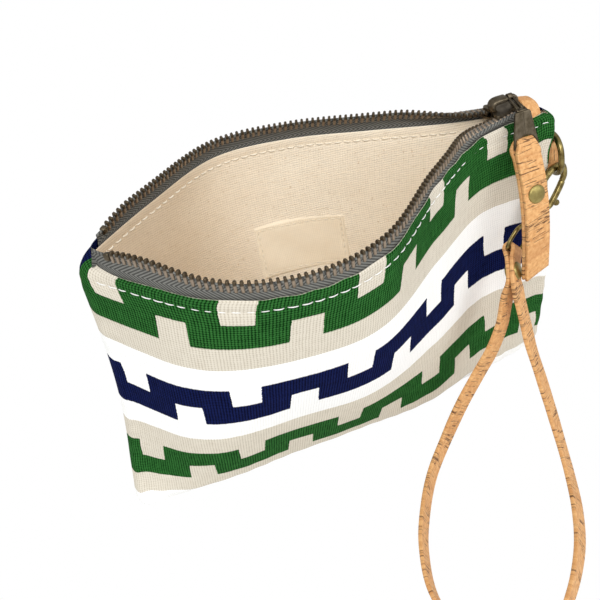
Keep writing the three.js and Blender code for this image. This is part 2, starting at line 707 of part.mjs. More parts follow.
function pullStrip() {
  const uncut = PULL_STRIP_LENGTH + PULL_STRIP_WIDTH / 2;
  const strip = hangingHairpin(stripBend, CORK_THICKNESS, uncut, PULL_STRIP_WIDTH, GAP / 2);
  const through = 4 * (stripBend + CORK_THICKNESS);
  const waste = box(PULL_STRIP_WIDTH * 3, through, PULL_STRIP_WIDTH * 2, 0, 0, -PULL_STRIP_WIDTH);
  waste.rotateY(radians(-PULL_STRIP_SLANT)).translate(0, 0, -PULL_STRIP_LENGTH);
  const hole = rod(RIVET_POST / 2 + GAP, -through, through).rotateX(Math.PI / 2);
  hole.translate(0, 0, -PULL_RIVET_DROP);
  return cut(strip, waste, hole);
}

// Rivet through two layers: a domed cap with its post, and a plain cap that closes the far end
function rivetCap(stack) {
  const r = RIVET_CAP / 2;
  const profile = [[0, RIVET_CAP_RISE], [r * 0.6, RIVET_CAP_RISE * 0.82], [r, 0.3], [r, 0]];
  const stem = [[RIVET_POST / 2, 0], [RIVET_POST / 2, -stack], [0, -stack]];
  return turned([...profile, ...stem].reverse(), 14).rotateX(Math.PI / 2);
}

function rivetBack() {
  const r = RIVET_CAP / 2;
  const profile = [[0, 0], [r, 0], [r, 0.3], [r * 0.7, RIVET_CAP_RISE * 0.7], [0, RIVET_CAP_RISE * 0.8]];
  return turned(profile, 14).rotateX(-Math.PI / 2);
}

// Cap and back of a rivet, on the two faces of a stack that is centred on the parent's origin
function addRivet(name, halfStack, parent) {
  const cap = add(`${name}_rivet_cap`, rivetCap(2 * halfStack + GAP), BRASS, parent);
  cap.position.set(0, 0, halfStack + GAP);
  const back = add(`${name}_rivet_back`, rivetBack(), BRASS, parent);
  back.position.set(0, 0, -halfStack - GAP);
}

add('pull_strip', pullStrip(), CORK, stripGroup);
const pullRivet = new THREE.Group();
pullRivet.position.set(0, 0, -PULL_RIVET_DROP);
pullRivet.rotation.set(Math.PI / 2, 0, 0);
stripGroup.add(pullRivet);
addRivet('pull', CORK_THICKNESS + GAP / 2, pullRivet);

// Ring tab in the right side seam, and the ring that it holds

const ringZ = WALL_HEIGHT - RING_TAB_DROP;
const ringLevel = ringZ / WALL_HEIGHT;
const seamEdge = acrossWall(1, ringLevel);
const seamY = (wallDepth(FRONT_WALL, 1, ringLevel) + wallDepth(BACK_WALL, 1, ringLevel)) / 2;
const ringBend = RING_WIRE / 2 + GAP;
const ringGroup = new THREE.Group();
ringGroup.position.set(seamEdge + GAP + RING_TAB_REACH, seamY, ringZ);
ringGroup.rotation.set(0, -Math.atan((SEAM_WIDTH - MOUTH_WIDTH) / 2 / WALL_HEIGHT), 0);
wristlet.add(ringGroup);

const ringTab = hairpin(ringBend, TAB_THICKNESS, RING_TAB_REACH, RING_TAB_REACH, RING_TAB_HEIGHT);
add('ring_tab', ringTab.rotateX(Math.PI / 2), CORK, ringGroup);

// Ring in its own frame: bar along Y through the origin, bow towards +X
function ringWire() {
  const half = RING_BAR_LENGTH / 2;
  const bow = range(13, -90, 90).map((degrees) => {
    return point(RING_DEPTH * Math.cos(radians(degrees)), half * Math.sin(radians(degrees)), 0);
  });
  const path = [...bow, point(0, half * 0.5, 0), point(0, 0, 0), point(0, -half * 0.5, 0)];
  return planarWire(path, path.map(() => RING_WIRE / 2), 8, true);
}

const ringTurn = new THREE.Group();
ringTurn.rotation.set(0, 0, -radians(RING_SWING));
ringGroup.add(ringTurn);
const ring = add('d_ring', ringWire(), BRASS, ringTurn);
ring.rotation.set(Math.PI / 2, 0, 0);

// Swivel clasp: hangs with the crown of its hook round the lower part of the ring's bow

ringGroup.updateWorldMatrix(true, true);
const seatAngle = radians(-45);
const bowSeat = point(RING_DEPTH * Math.cos(seatAngle), RING_BAR_LENGTH / 2 * Math.sin(seatAngle), 0);
const hookSeat = bowSeat.applyMatrix4(ring.matrixWorld);
const claspUp = CLASP_AXIS.clone().negate();
const claspOut = CLASP_FACE.clone().addScaledVector(claspUp, -CLASP_FACE.dot(claspUp)).normalize();
const claspSide = new THREE.Vector3().crossVectors(claspUp, claspOut);
const crownDrop = HOOK_HEIGHT - HOOK_WIRE / 2 - RING_WIRE / 2 - 4 * GAP - HOOK_WIRE / 2;
const claspOrigin = hookSeat.clone().addScaledVector(claspUp, -crownDrop);
const clasp = frameFrom(claspOrigin, claspSide, claspUp, claspOut);
wristlet.add(clasp);

const bellow = 6.6;
const cheekWidth = GATE_WIRE + 2 * GAP + 2.2;
const pivot = point(HOOK_REACH * 0.6, BARREL_LENGTH + 2.6, 0);

function claspHook() {
  const crown = HOOK_HEIGHT - HOOK_WIRE / 2;
  const shape = new THREE.CatmullRomCurve3([
    point(0, BARREL_LENGTH - 0.4, 0),
    point(-bellow * 0.55, BARREL_LENGTH + 2.5, 0),
    point(-bellow * 0.95, BARREL_LENGTH + HOOK_HEIGHT * 0.27, 0),
    point(-bellow * 0.75, crown - 4.2, 0),
    point(0, crown, 0),
    point(HOOK_REACH * 0.8, crown - 2.6, 0),
    point(HOOK_REACH, crown - 5.6, 0),
  ]);
  const path = shape.getPoints(17);
  const radii = path.map((_, i) => lerp(HOOK_WIRE / 2 + 0.5, HOOK_WIRE / 2 - 0.3, i / 17));
  const spine = planarWire(path, radii, 8, false);
  const barrelProfile = [
    [0, BARREL_LENGTH], [BARREL_RADIUS * 0.8, BARREL_LENGTH], [BARREL_RADIUS, BARREL_LENGTH - 1],
    [BARREL_RADIUS, 0.6], [BARREL_RADIUS * 0.8, 0], [POST_RADIUS + GAP, 0], [POST_RADIUS + GAP, 1.4],
    [BARREL_RADIUS * 0.7, 1.4], [BARREL_RADIUS * 0.7, BARREL_LENGTH - 1.8], [0, BARREL_LENGTH - 1.8],
  ];
  const barrel = turned(barrelProfile.reverse(), 16);
  const cheek = new THREE.Shape();
  cheek.moveTo(-BARREL_RADIUS * 0.7, BARREL_LENGTH - 1.2);
  cheek.lineTo(BARREL_RADIUS * 0.8, BARREL_LENGTH - 1.2);
  cheek.lineTo(pivot.x + 1.8, pivot.y - 0.6);
  cheek.absarc(pivot.x, pivot.y, 1.9, -0.3, Math.PI * 0.7, false);
  cheek.lineTo(-bellow * 0.5, BARREL_LENGTH + 3.4);
  cheek.closePath();
  const jaw = join(spine, barrel, plate(cheek, cheekWidth));
  const slotWidth = 2.3 * HOOK_REACH;
  const slotHeight = 2.3 * BARREL_LENGTH;
  const slotX = pivot.x + slotWidth * 0.32;
  const slotY = pivot.y + slotHeight * 0.1;
  const gateSlot = box(slotWidth, slotHeight, GATE_WIRE + 2 * GAP, slotX, slotY, 0);
  const pinHole = rod(GATE_PIN / 2 + GAP, -cheekWidth, cheekWidth).translate(pivot.x, pivot.y, 0);
  return cut(jaw, gateSlot, pinHole);
}

// Gate lever: a curved finger on the pin, closing on the hook's tip, with a thumb knob on its outer side
function gateLever() {
  const tip = HOOK_HEIGHT - HOOK_WIRE / 2 - 5.6;
  const finger = new THREE.CatmullRomCurve3([
    point(pivot.x, pivot.y, 0),
    point(HOOK_REACH + 1.2, pivot.y + 3.2, 0),
    point(HOOK_REACH + 1, tip - 4, 0),
    point(HOOK_REACH + 0.1, tip - HOOK_WIRE / 2 - GAP, 0),
  ]).getPoints(9);
  const half = GATE_WIRE / 2;
  const rings = finger.map((place, i) => {
    const along = finger[Math.min(i + 1, 9)].clone().sub(finger[Math.max(i - 1, 0)]).normalize();
    const across = point(-along.y, along.x, 0).multiplyScalar(half);
    const up = point(0, 0, half);
    const section = [[1, 0.5], [0.5, 1], [-0.5, 1], [-1, 0.5], [-1, -0.5], [-0.5, -1], [0.5, -1], [1, -0.5]];
    return section.map(([a, b]) => {
      return place.clone().addScaledVector(across, a).addScaledVector(up, b);
    });
  });
  const hub = rod(GATE_PIN / 2 + 1.1, -half, half).translate(pivot.x, pivot.y, 0);
  const knob = rod(1.5, 0, 2.6, 12).rotateY(Math.PI / 2).translate(HOOK_REACH + 1.6, pivot.y + 3, 0);
  const lever = join(loft(rings), hub, knob);
  return cut(lever, rod(GATE_PIN / 2 + GAP, -GATE_WIRE, GATE_WIRE).translate(pivot.x, pivot.y, 0));
}

add('clasp_hook', claspHook(), BRASS, clasp);
add('gate_lever', gateLever(), BRASS, clasp);
const pinHalf = cheekWidth / 2 + 0.2;
const gatePin = rod(GATE_PIN / 2, -pinHalf, pinHalf).translate(pivot.x, pivot.y, 0);
add('gate_pin', gatePin, BRASS, clasp);

// Swivel eye: post held in the barrel, and a wire loop as wide as the strap, set across the clasp
const eyeHalfWidth = STRAP_WIDTH / 2 + GAP + EYE_WIRE / 2;

function swivelEye() {
  const neck = -EYE_WIRE / 2 - GAP;
  const loop = [
    point(0, neck, 0), point(-2.5, neck - 0.3, 0), point(-eyeHalfWidth + 1.6, neck - 2.2, 0),
    point(-eyeHalfWidth, neck - 4.4, 0), point(-eyeHalfWidth, -EYE_LENGTH + 1.2, 0),
    point(-eyeHalfWidth + 1, -EYE_LENGTH, 0), point(0, -EYE_LENGTH, 0),
  ];
  const mirrored = loop.slice(1, -1).reverse().map((p) => point(-p.x, p.y, 0));
  const path = [...loop, ...mirrored];
  const wire = planarWire(path, path.map(() => EYE_WIRE / 2), 8, true);
  const head = 1.4 + GAP;
  const headTop = BARREL_LENGTH - 1.8 - GAP;
  const headRadius = BARREL_RADIUS * 0.7 - GAP;
  const stem = [[0, neck], [POST_RADIUS, neck], [POST_RADIUS, head]];
  const cap = [[headRadius, head], [headRadius, headTop], [0, headTop]];
  const post = turned([...stem, ...cap], 16);
  return join(wire, post).rotateY(Math.PI / 2);
}

const eyeOut = EYE_FACE.clone().addScaledVector(claspUp, -EYE_FACE.dot(claspUp)).normalize();
const eyeSide = new THREE.Vector3().crossVectors(claspUp, eyeOut);
const eye = frameFrom(claspOrigin, eyeSide, claspUp, eyeOut);
wristlet.add(eye);
add('swivel_eye', swivelEye(), BRASS, eye);

// Wrist strap: one closed loop of cork, folded over the eye, riveted below it and laid on the table

const eyeBar = claspOrigin.clone().addScaledVector(claspUp, -EYE_LENGTH);
const strapBend = EYE_WIRE / 2 + GAP;
const strapMid = strapBend + CORK_THICKNESS / 2;
const strapDown = STRAP_DROP.clone().addScaledVector(eyeOut, -STRAP_DROP.dot(eyeOut)).normalize();
const strapAcross = new THREE.Vector3().crossVectors(eyeOut, strapDown);

// Route of the strap: offsets from the eye in plan as shares of the reach, and a share of the eye's height
const STRAP_ROUTE = [
  [-0.077, -0.1, 0.81], [-0.108, -0.131, 0.67], [-0.154, -0.154, 0.53], [-0.215, -0.169, 0.39],
  [-0.3, -0.2, 0.24], [-0.4, -0.254, 0.08], [-0.508, -0.338, 0.01], [-0.608, -0.454, 0],
  [-0.692, -0.585, 0], [-0.746, -0.746, 0], [-0.723, -0.9, 0], [-0.615, -1, 0],
  [-0.469, -1, 0], [-0.346, -0.931, 0], [-0.215, -0.815, 0], [-0.123, -0.692, 0],
  [-0.054, -0.562, 0.01], [-0.015, -0.446, 0.08], [-0.008, -0.346, 0.24], [-0.015, -0.277, 0.39],
  [-0.023, -0.215, 0.53], [-0.031, -0.169, 0.67], [-0.038, -0.123, 0.81],
];

function strapCentreline() {
  const held = (across, down) => {
    return eyeBar.clone().addScaledVector(strapAcross, across).addScaledVector(strapDown, down);
  };
  const fold = range(7, Math.PI, 0).map((angle) => {
    return held(strapMid * Math.cos(angle), -strapMid * Math.sin(angle));
  });
  const pinch = CORK_THICKNESS / 2 + GAP / 2;
  const free = STRAP_ROUTE.map(([x, y, share]) => {
    return point(eyeBar.x + x * STRAP_REACH, eyeBar.y + y * STRAP_REACH, lerp(STRAP_REST, eyeBar.z, share));
  });
  const clear = RIVET_CAP / 2 + 4 * GAP;
  const above = (across) => held(across, STRAP_RIVET_DROP - clear);
  const below = (across) => held(across, STRAP_RIVET_DROP + clear);
  const stops = [below(pinch), ...free.reverse(), below(-pinch)];
  const route = new THREE.CatmullRomCurve3(stops, false, 'centripetal');
  return [...fold, above(pinch), ...route.getSpacedPoints(50), above(-pinch)];
}

function wristStrap() {
  const path = strapCentreline();
  const lean = radians(STRAP_LEAN);
  const middle = path.reduce((sum, p) => sum.add(p), point(0, 0, 0)).divideScalar(path.length);
  const rings = path.map((place, i) => {
    const before = path[(i + path.length - 1) % path.length];
    const after = path[(i + 1) % path.length];
    const along = after.clone().sub(before).normalize();
    const inward = middle.clone().sub(place).setZ(0).normalize();
    const leaning = point(0, 0, Math.cos(lean)).addScaledVector(inward, Math.sin(lean));
    const held = smoothstep(place.z, eyeBar.z * 0.1, eyeBar.z * 0.75);
    const width = leaning.lerp(eyeOut, held);
    width.addScaledVector(along, -width.dot(along)).normalize();
    const facing = new THREE.Vector3().crossVectors(along, width);
    const w = STRAP_WIDTH / 2;
    const t = CORK_THICKNESS / 2;
    const quarter = [[w, t * 0.4], [w - 0.6, t], [0.6 - w, t], [-w, t * 0.4]];
    const section = [...quarter, ...quarter.map(([a, b]) => [-a, -b])];
    return section.map(([a, b]) => place.clone().addScaledVector(width, a).addScaledVector(facing, b));
  });
  const strap = loft(rings, true);
  const toRivet = new THREE.Matrix4().makeBasis(eyeOut, strapDown, strapAcross);
  toRivet.setPosition(eyeBar.clone().addScaledVector(strapDown, STRAP_RIVET_DROP));
  return cut(strap, rod(RIVET_POST / 2 + GAP, -4 * CORK_THICKNESS, 4 * CORK_THICKNESS).applyMatrix4(toRivet));
}

add('wrist_strap', wristStrap(), CORK);
const strapRivetPlace = eyeBar.clone().addScaledVector(strapDown, STRAP_RIVET_DROP);
const strapRivet = frameFrom(strapRivetPlace, eyeOut, strapDown, strapAcross);
wristlet.add(strapRivet);
addRivet('strap', CORK_THICKNESS + GAP / 2, strapRivet);

// Origin in the middle of the whole piece's box, on the table
const whole = new THREE.Box3().setFromObject(wristlet);
const centre = whole.getCenter(new THREE.Vector3());
wristlet.position.set(-centre.x, -centre.y, -whole.min.z);

export default wristlet;
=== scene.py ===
import math

import bpy
import numpy as np
from mathutils import Matrix, Vector


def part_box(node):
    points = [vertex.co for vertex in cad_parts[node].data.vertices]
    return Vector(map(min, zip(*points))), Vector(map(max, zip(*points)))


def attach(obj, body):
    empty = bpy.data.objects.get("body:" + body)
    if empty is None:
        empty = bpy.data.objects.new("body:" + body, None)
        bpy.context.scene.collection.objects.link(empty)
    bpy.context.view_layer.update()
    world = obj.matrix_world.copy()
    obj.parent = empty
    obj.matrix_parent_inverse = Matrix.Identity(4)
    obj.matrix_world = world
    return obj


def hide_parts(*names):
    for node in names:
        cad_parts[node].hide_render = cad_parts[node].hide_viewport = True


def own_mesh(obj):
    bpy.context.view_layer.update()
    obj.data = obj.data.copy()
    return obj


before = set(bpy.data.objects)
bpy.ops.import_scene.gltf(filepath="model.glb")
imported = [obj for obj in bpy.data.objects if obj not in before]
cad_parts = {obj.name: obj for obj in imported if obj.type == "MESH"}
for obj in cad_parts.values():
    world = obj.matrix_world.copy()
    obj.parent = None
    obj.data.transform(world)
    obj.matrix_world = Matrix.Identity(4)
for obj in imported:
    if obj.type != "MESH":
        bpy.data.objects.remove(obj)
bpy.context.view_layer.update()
scene = bpy.context.scene

# Sizes of the pouch, in millimetres, in a frame with its origin at the middle of the bottom seam
SEAM_WIDTH = 242
MOUTH_WIDTH = 212
WALL_HEIGHT = 149
PANEL_THICKNESS = 1.1
LOWER_CORNER = 8
UPPER_CORNER = (6, 4)
WALL_BUILD = 3.15
WAIST_LEVEL = 0.4
TUCK_LEVEL = 0.06
LINING_LEVEL = {-1: 1 - 3.5 / WALL_HEIGHT, 1: 1 - 2.4 / WALL_HEIGHT}
LINING_OUTER = 2.4
LINING_INNER = 3.0
SEAM_TURN = 2.5
TOPSTITCH_DROP = 5.2
LINING_STITCH_DROP = 4.3
SEAM_BOW = (2, -8, -9, -9, -10, -8, -3)
FRONT = {
    "name": "front",
    "side": -1,
    "foot": (2, -12, -13, -15, -17.5, -8.5, -3),
    "waist": (-1, -27, -32.5, -34, -21.5, -6.5, -8),
    "lip": (0, -37.5, -51.5, -46.5, -21, 0.5, 5),
    "sag": 0.5,
}
BACK = {
    "name": "back",
    "side": 1,
    "foot": (2, -6, -7, -7, -8, -6, -3),
    "waist": (-1, 17, 30, 30, 18, 5, -8),
    "lip": (0, 28, 51, 48, 33.5, 18.5, 10),
    "sag": 0.2,
}

# How the cloth settles: the left seam, its lower corner, the top right corner and the lip at the end tab
SEAM_DRAWN = 4.2
SEAM_BACK = 3.2
CORNER_KICK = 8
CORNER_DRAWN = 4
CORNER_LIFT = 0.6
TAB_LIFT = 1.6
TAB_SHARE = 0.973
TAB_SPREAD = 0.0135

# Zip
TAPE_LAYER = 1.75
TAPE_THICKNESS = 0.7
TAPE_SEWN = 9
TAPE_SHOWN = 5
TAPE_SWELL = 4.2
TAPE_DIP = 2.5
TAPE_BEAD = 0.8
TAPE_STEPS = 240
TAPE_FLAT = 3
TAPE_LEAN = 15
CHAIN_Y = 7.5
CHAIN_Z = 152
CHAIN_HALF_GAP = 1.8
CHAIN_SPREAD = 0.25
MERGE_X = 90.5
ZIP_LEFT = {-1: -99.2, 1: -96}
TEETH_LEFT = {-1: -95, 1: -92.5}
ZIP_RIGHT = 97
SLIDER_TAIL = 94
SLIDER_THROAT = 80
TOOTH_PITCH = 2.5

# Cork
CORK_THICKNESS = 1.9
STRIP_WIDTH = 12.4
STRIP_LENGTH = 60.4
STRIP_SLANT = 20
STRIP_RIVET_DROP = 20.6
STRAP_WIDTH = 10
STRAP_REACH = 130
STRAP_LEAN = (24, 40)
STRAP_REST = 5.2
STRAP_RIVET_DROP = 10.5
RIVET_RADIUS = 4.3
RIVET_SEAT = 0.3

slider_low, slider_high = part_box("slider_body")
SHIFT = np.array([slider_high.x * 1000 - SLIDER_TAIL, (slider_low.y + slider_high.y) * 500 - CHAIN_Y, 0])


def row_frame(points):
    return (np.asarray(points, float) + SHIFT) * 0.001


def unit(v):
    v = np.asarray(v, float)
    return v / np.maximum(np.linalg.norm(v, axis=-1, keepdims=True), 1e-12)


def smoothstep(x, low, high):
    k = np.clip((np.asarray(x, float) - low) / (high - low), 0, 1)
    return k * k * (3 - 2 * k)


def hashed(k):
    value = math.sin(k * 12.9898 + 4.1414) * 43758.5453
    return value - math.floor(value)


def placed(name, data):
    made = bpy.data.objects.new(name, data)
    scene.collection.objects.link(made)
    return made


# Meshes made of grids of points, with a map of their unrolled millimetres
class Skin:
    def __init__(self):
        self.points = []
        self.faces = []
        self.flat = []
        self.count = 0

    def grid(self, points, flat, around=False, closed=False, flip=False):
        rows, columns = points.shape[:2]
        first = self.count
        self.points.append(points.reshape(-1, 3))
        self.count += rows * columns
        corners = [(0, 0), (0, 1), (1, 1), (1, 0)]
        if flip:
            corners.reverse()
        for r in range(rows if closed else rows - 1):
            for c in range(columns if around else columns - 1):
                face = [first + (r + i) % rows * columns + (c + j) % columns for i, j in corners]
                self.faces.append(face)
                self.flat.extend(flat[r + i, c + j] for i, j in corners)

    # Rings of points in a row, joined around, with a face at each end unless the row meets itself
    def sweep(self, points, flat, closed=False, flip=False, face=None):
        rows, columns = points.shape[:2]
        first = self.count
        self.grid(points, flat, True, closed, flip)
        ends = () if closed else ((0, not flip), (rows - 1, flip))
        for row, turned in ends:
            order = range(columns)[::-1] if turned else range(columns)
            self.faces.append([first + row * columns + k for k in order])
            self.flat.extend((flat[row] if face is None else face)[k] for k in order)

    def piece(self, name, paint, body, *nodes, slot=None):
        mesh = bpy.data.meshes.new(name)
        mesh.from_pydata(row_frame(np.concatenate(self.points)).tolist(), [], self.faces)
        layer = mesh.uv_layers.new(name="flat")
        layer.data.foreach_set("uv", (np.asarray(self.flat, float) * 0.01).ravel())
        mesh.shade_smooth()
        mesh.materials.append(paint)
        piece = placed(name, mesh)
        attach(piece, body)
        if nodes:
            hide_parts(*nodes)
        return piece


def lengths(path):
    steps = np.linalg.norm(np.diff(path, axis=0), axis=1)
    return np.concatenate([[0], np.cumsum(steps)])


def along(path, distances, values=None):
    values = path if values is None else values
    total = lengths(path)
    return np.stack([np.interp(distances, total, column) for column in values.T], -1)


def unrolled(run, across):
    return np.stack(np.meshgrid(run, across, indexing="ij"), -1)


def smoothed(ring, passes):
    for _ in range(passes):
        ring = (np.roll(ring, 1, 0) + 2 * ring + np.roll(ring, -1, 0)) / 4
    return ring


def tangents(path, closed=False):
    if closed:
        return unit(np.roll(path, -1, 0) - np.roll(path, 1, 0))
    return unit(np.gradient(path, axis=0))


def curve(points, per_span, closed=False):
    points = np.asarray(points, float)
    if closed:
        padded = np.concatenate([points[-1:], points, points[:2]])
    else:
        padded = np.concatenate([[2 * points[0] - points[1]], points, [2 * points[-1] - points[-2]]])
    made = []
    for i in range(len(padded) - 3):
        p0, p1, p2, p3 = padded[i:i + 4]
        d1, d2, d3 = (max(np.linalg.norm(b - a), 1e-6) ** 0.5 for a, b in ((p0, p1), (p1, p2), (p2, p3)))
        m1 = ((p1 - p0) / d1 - (p2 - p0) / (d1 + d2) + (p2 - p1) / d2) * d2
        m2 = ((p2 - p1) / d2 - (p3 - p1) / (d2 + d3) + (p3 - p2) / d3) * d2
        for k in np.arange(per_span) / per_span:
            made.append((2 * k**3 - 3 * k**2 + 1) * p1 + (k**3 - 2 * k**2 + k) * m1
                        + (3 * k**2 - 2 * k**3) * p2 + (k**3 - k**2) * m2)
    if not closed:
        made.append(points[-1])
    return np.array(made)


def tube(skin, path, radii, normals, sides, closed=False):
    ahead = tangents(path, closed)
    side = unit(np.cross(ahead, normals))
    up = np.cross(side, ahead)
    angles = np.arange(sides + 1) / sides * 2 * math.pi
    around = angles[:-1, None]
    ring = side[:, None] * np.cos(around) + up[:, None] * np.sin(around)
    radii = np.broadcast_to(np.asarray(radii, float), len(path))
    run = lengths(np.concatenate([path, path[:1]]))
    skin.sweep(path[:, None] + ring * radii[:, None, None], unrolled(run, angles * radii.mean()), closed)


def rounded_section(width, thickness, corner, steps=3):
    half, rise = width / 2 - corner, thickness / 2 - corner
    points = []
    for k, (x, y) in enumerate(((half, rise), (-half, rise), (-half, -rise), (half, -rise))):
        for angle in np.linspace(k * 90, k * 90 + 90, steps + 1):
            turn = math.radians(angle)
            points.append((x + corner * math.cos(turn), y + corner * math.sin(turn)))
        if k in (0, 2):
            points.extend(((k - 1) * half * f, y + corner * (1 - k)) for f in (-0.5, 0, 0.5))
    return np.array(points)


def ribbon(skin, path, across, section, closed=False, widths=1):
    ahead = tangents(path, closed)
    across = unit(across - ahead * np.sum(across * ahead, -1, keepdims=True))
    facing = np.cross(ahead, across)
    widths = np.broadcast_to(np.asarray(widths, float), len(path))
    spread = section[:, :1] * widths[:, None, None]
    points = path[:, None] + across[:, None] * spread + facing[:, None] * section[:, 1:]
    run = lengths(np.concatenate([path, path[:1]]))
    flat = unrolled(run, np.append(section[:, 0], section[0, 0]))
    skin.sweep(points, flat, closed, flip=True, face=section)


class Axes:
    def __init__(self, origin, x, y, z):
        self.origin = np.asarray(origin, float)
        self.turn = np.array([unit(x), unit(y), unit(z)])

    def __call__(self, points):
        return self.origin + np.asarray(points, float) @ self.turn

    # Points of a drawing in the plane of the first two axes
    def plane(self, line):
        return self(np.column_stack([line, np.zeros(len(line))]))


def lathe(skin, axes, profile, sides):
    profile = np.asarray(profile, float)
    angles = np.arange(sides) / sides * 2 * math.pi
    radii, heights = profile[:, :1], np.repeat(profile[:, 1:], sides, 1)
    points = np.stack([radii * np.cos(angles), heights, radii * np.sin(angles)], -1)
    skin.grid(axes(points), unrolled(lengths(profile), np.arange(sides + 1)), around=True)


def slab(skin, axes, outline, low, high, edge):
    outline = np.asarray(outline, float)
    spokes = outline - outline.mean(0)
    inset = outline - spokes * edge / np.linalg.norm(spokes, axis=1, keepdims=True)
    levels = [(low, inset), (low + edge, outline), (high - edge, outline), (high, inset)]
    points = np.array([np.column_stack([shape, np.full(len(shape), z)]) for z, shape in levels])
    flat = unrolled([z for z, _ in levels], np.append(lengths(outline), 0))
    skin.sweep(axes(points), flat, face=inset)


# Rounded sections in a row along the first axis: reach, width and thickness of each
def loft(skin, axes, stations, corner, steps):
    rings = []
    for reach, width, thickness in stations:
        ring = rounded_section(width, thickness, corner, steps)
        rings.append(np.column_stack([np.full(len(ring), reach), ring]))
    points = np.array(rings)
    flat = unrolled([reach for reach, _, _ in stations], np.zeros(points.shape[1] + 1))
    skin.sweep(axes(points), flat)


def stitches(skin, path, normals, pitch=5, length=4, radius=0.24):
    normals = np.broadcast_to(normals, path.shape)
    share = np.linspace(0, 1, 8)
    swell = np.sin(math.pi * share)
    for k in range(int(lengths(path)[-1] / pitch)):
        begin = k * pitch + (pitch - length) * (0.3 + 0.4 * hashed(k))
        places = begin + share * length * (0.94 + 0.12 * hashed(k + 71))
        points = along(path, places)
        lifts = along(path, places, normals)
        lean = np.cross(tangents(points), lifts) * ((share - 0.5) * (hashed(k + 29) - 0.3) * 0.5)[:, None]
        lifted = points + lifts * (radius * (1.75 * swell**0.6 - 1.1))[:, None] + lean
        tube(skin, lifted, radius * (0.6 + 0.4 * swell**0.5), lifts, sides=7)


# Finishes
def colour(red, green, blue):
    channels = [c / 255 for c in (red, green, blue)]
    return [c / 12.92 if c <= 0.04045 else ((c + 0.055) / 1.055) ** 2.4 for c in channels] + [1]


class Paint:
    def __init__(self, name, roughness=0.9, metallic=0, shine=0.1):
        self.material = bpy.data.materials.new(name)
        self.material.use_nodes = True
        self.tree = self.material.node_tree
        self.surface = self.tree.nodes["Principled BSDF"]
        for key, value in (("Roughness", roughness), ("Metallic", metallic), ("Specular IOR Level", shine)):
            self.surface.inputs[key].default_value = value
        uv = self.node("UVMap", uv_map="flat")
        self.flat = self.scaled(uv.outputs["UV"], 100)
        parts = self.node("SeparateXYZ", self.flat)
        self.u, self.v = parts.outputs["X"], parts.outputs["Y"]
        self.solid = self.scaled(self.node("TexCoord").outputs["Object"], 1000)

    def put(self, socket, value):
        if isinstance(value, bpy.types.NodeSocket):
            self.tree.links.new(value, socket)
        else:
            socket.default_value = value

    def node(self, kind, *values, **settings):
        made = self.tree.nodes.new("ShaderNode" + kind)
        for key, value in settings.items():
            setattr(made, key, value)
        for socket, value in zip(made.inputs, values):
            self.put(socket, value)
        return made

    def scaled(self, vector, scale):
        return self.node("VectorMath", vector, [scale] * 3, operation="MULTIPLY").outputs[0]

    def joined(self, x, y, z=0):
        return self.node("CombineXYZ", x, y, z).outputs[0]

    def math(self, operation, *values):
        return self.node("Math", *values, operation=operation).outputs[0]

    def times(self, value, factor, plus=0):
        return self.math("MULTIPLY_ADD", value, factor, plus)

    def noise(self, vector, scale, detail=2, roughness=0.5):
        return self.node("TexNoise", vector, 0, scale, detail, roughness).outputs["Fac"]

    def step(self, value, low, high, to_low=0.0, to_high=1.0):
        made = self.node("MapRange", value, low, high, to_low, to_high, interpolation_type="SMOOTHSTEP")
        return made.outputs["Result"]

    # Tones are red, green and blue up to 255, or the output of another node
    def mix(self, share, first, second, blend="MIX"):
        made = self.node("Mix", share, data_type="RGBA", blend_type=blend)
        for socket, tone in zip(made.inputs[6:8], (first, second)):
            self.put(socket, colour(*tone) if isinstance(tone, tuple) else tone)
        return made.outputs[2]

    def over(self, base, share, strength, tone):
        return self.mix(self.times(share, strength), base, tone)

    def shade(self, base, amount):
        grey = self.node("CombineColor", amount, amount, amount)
        return self.mix(1.0, base, grey.outputs[0], "MULTIPLY")

    def bump(self, height, distance, strength):
        made = self.node("Bump")
        for name, value in (("Strength", strength), ("Distance", distance), ("Height", height)):
            self.put(made.inputs[name], value)
        self.put(self.surface.inputs["Normal"], made.outputs["Normal"])

    def finish(self, base, roughness=None):
        self.put(self.surface.inputs["Base Color"], base)
        if roughness is not None:
            self.put(self.surface.inputs["Roughness"], roughness)
        return self.material

    # Plain weave: ridges of two thread directions, uneven along each thread
    def weave(self, pitch, columns=0.72, rows=0.54):
        turn = math.pi / pitch
        slub_u = self.noise(self.joined(self.times(self.u, 0.12), self.v), 1.1)
        slub_v = self.noise(self.joined(self.u, self.times(self.v, 0.12)), 1.1)
        warp = self.math("SINE", self.times(self.times(slub_u, 0.6, self.u), turn))
        weft = self.math("SINE", self.times(self.times(slub_v, 0.6, self.v), turn))
        crossing = self.times(self.math("ABSOLUTE", warp), columns, -0.3)
        crossing = self.times(self.math("ABSOLUTE", weft), rows, crossing)
        slubs = self.math("ADD", slub_u, slub_v)
        return self.times(slubs, 0.4, self.times(crossing, 0.6))


# Printed canvas: grounds stacked down the cloth, each with a band notched from above and below in turn
PRINT_UNIT = 25
GROUND_HEIGHT = 2.147
BAND_START = 0.559
BAND_HEIGHT = 1.056
NOTCH_HALF = 0.25
NOTCH_DEPTH = 0.51


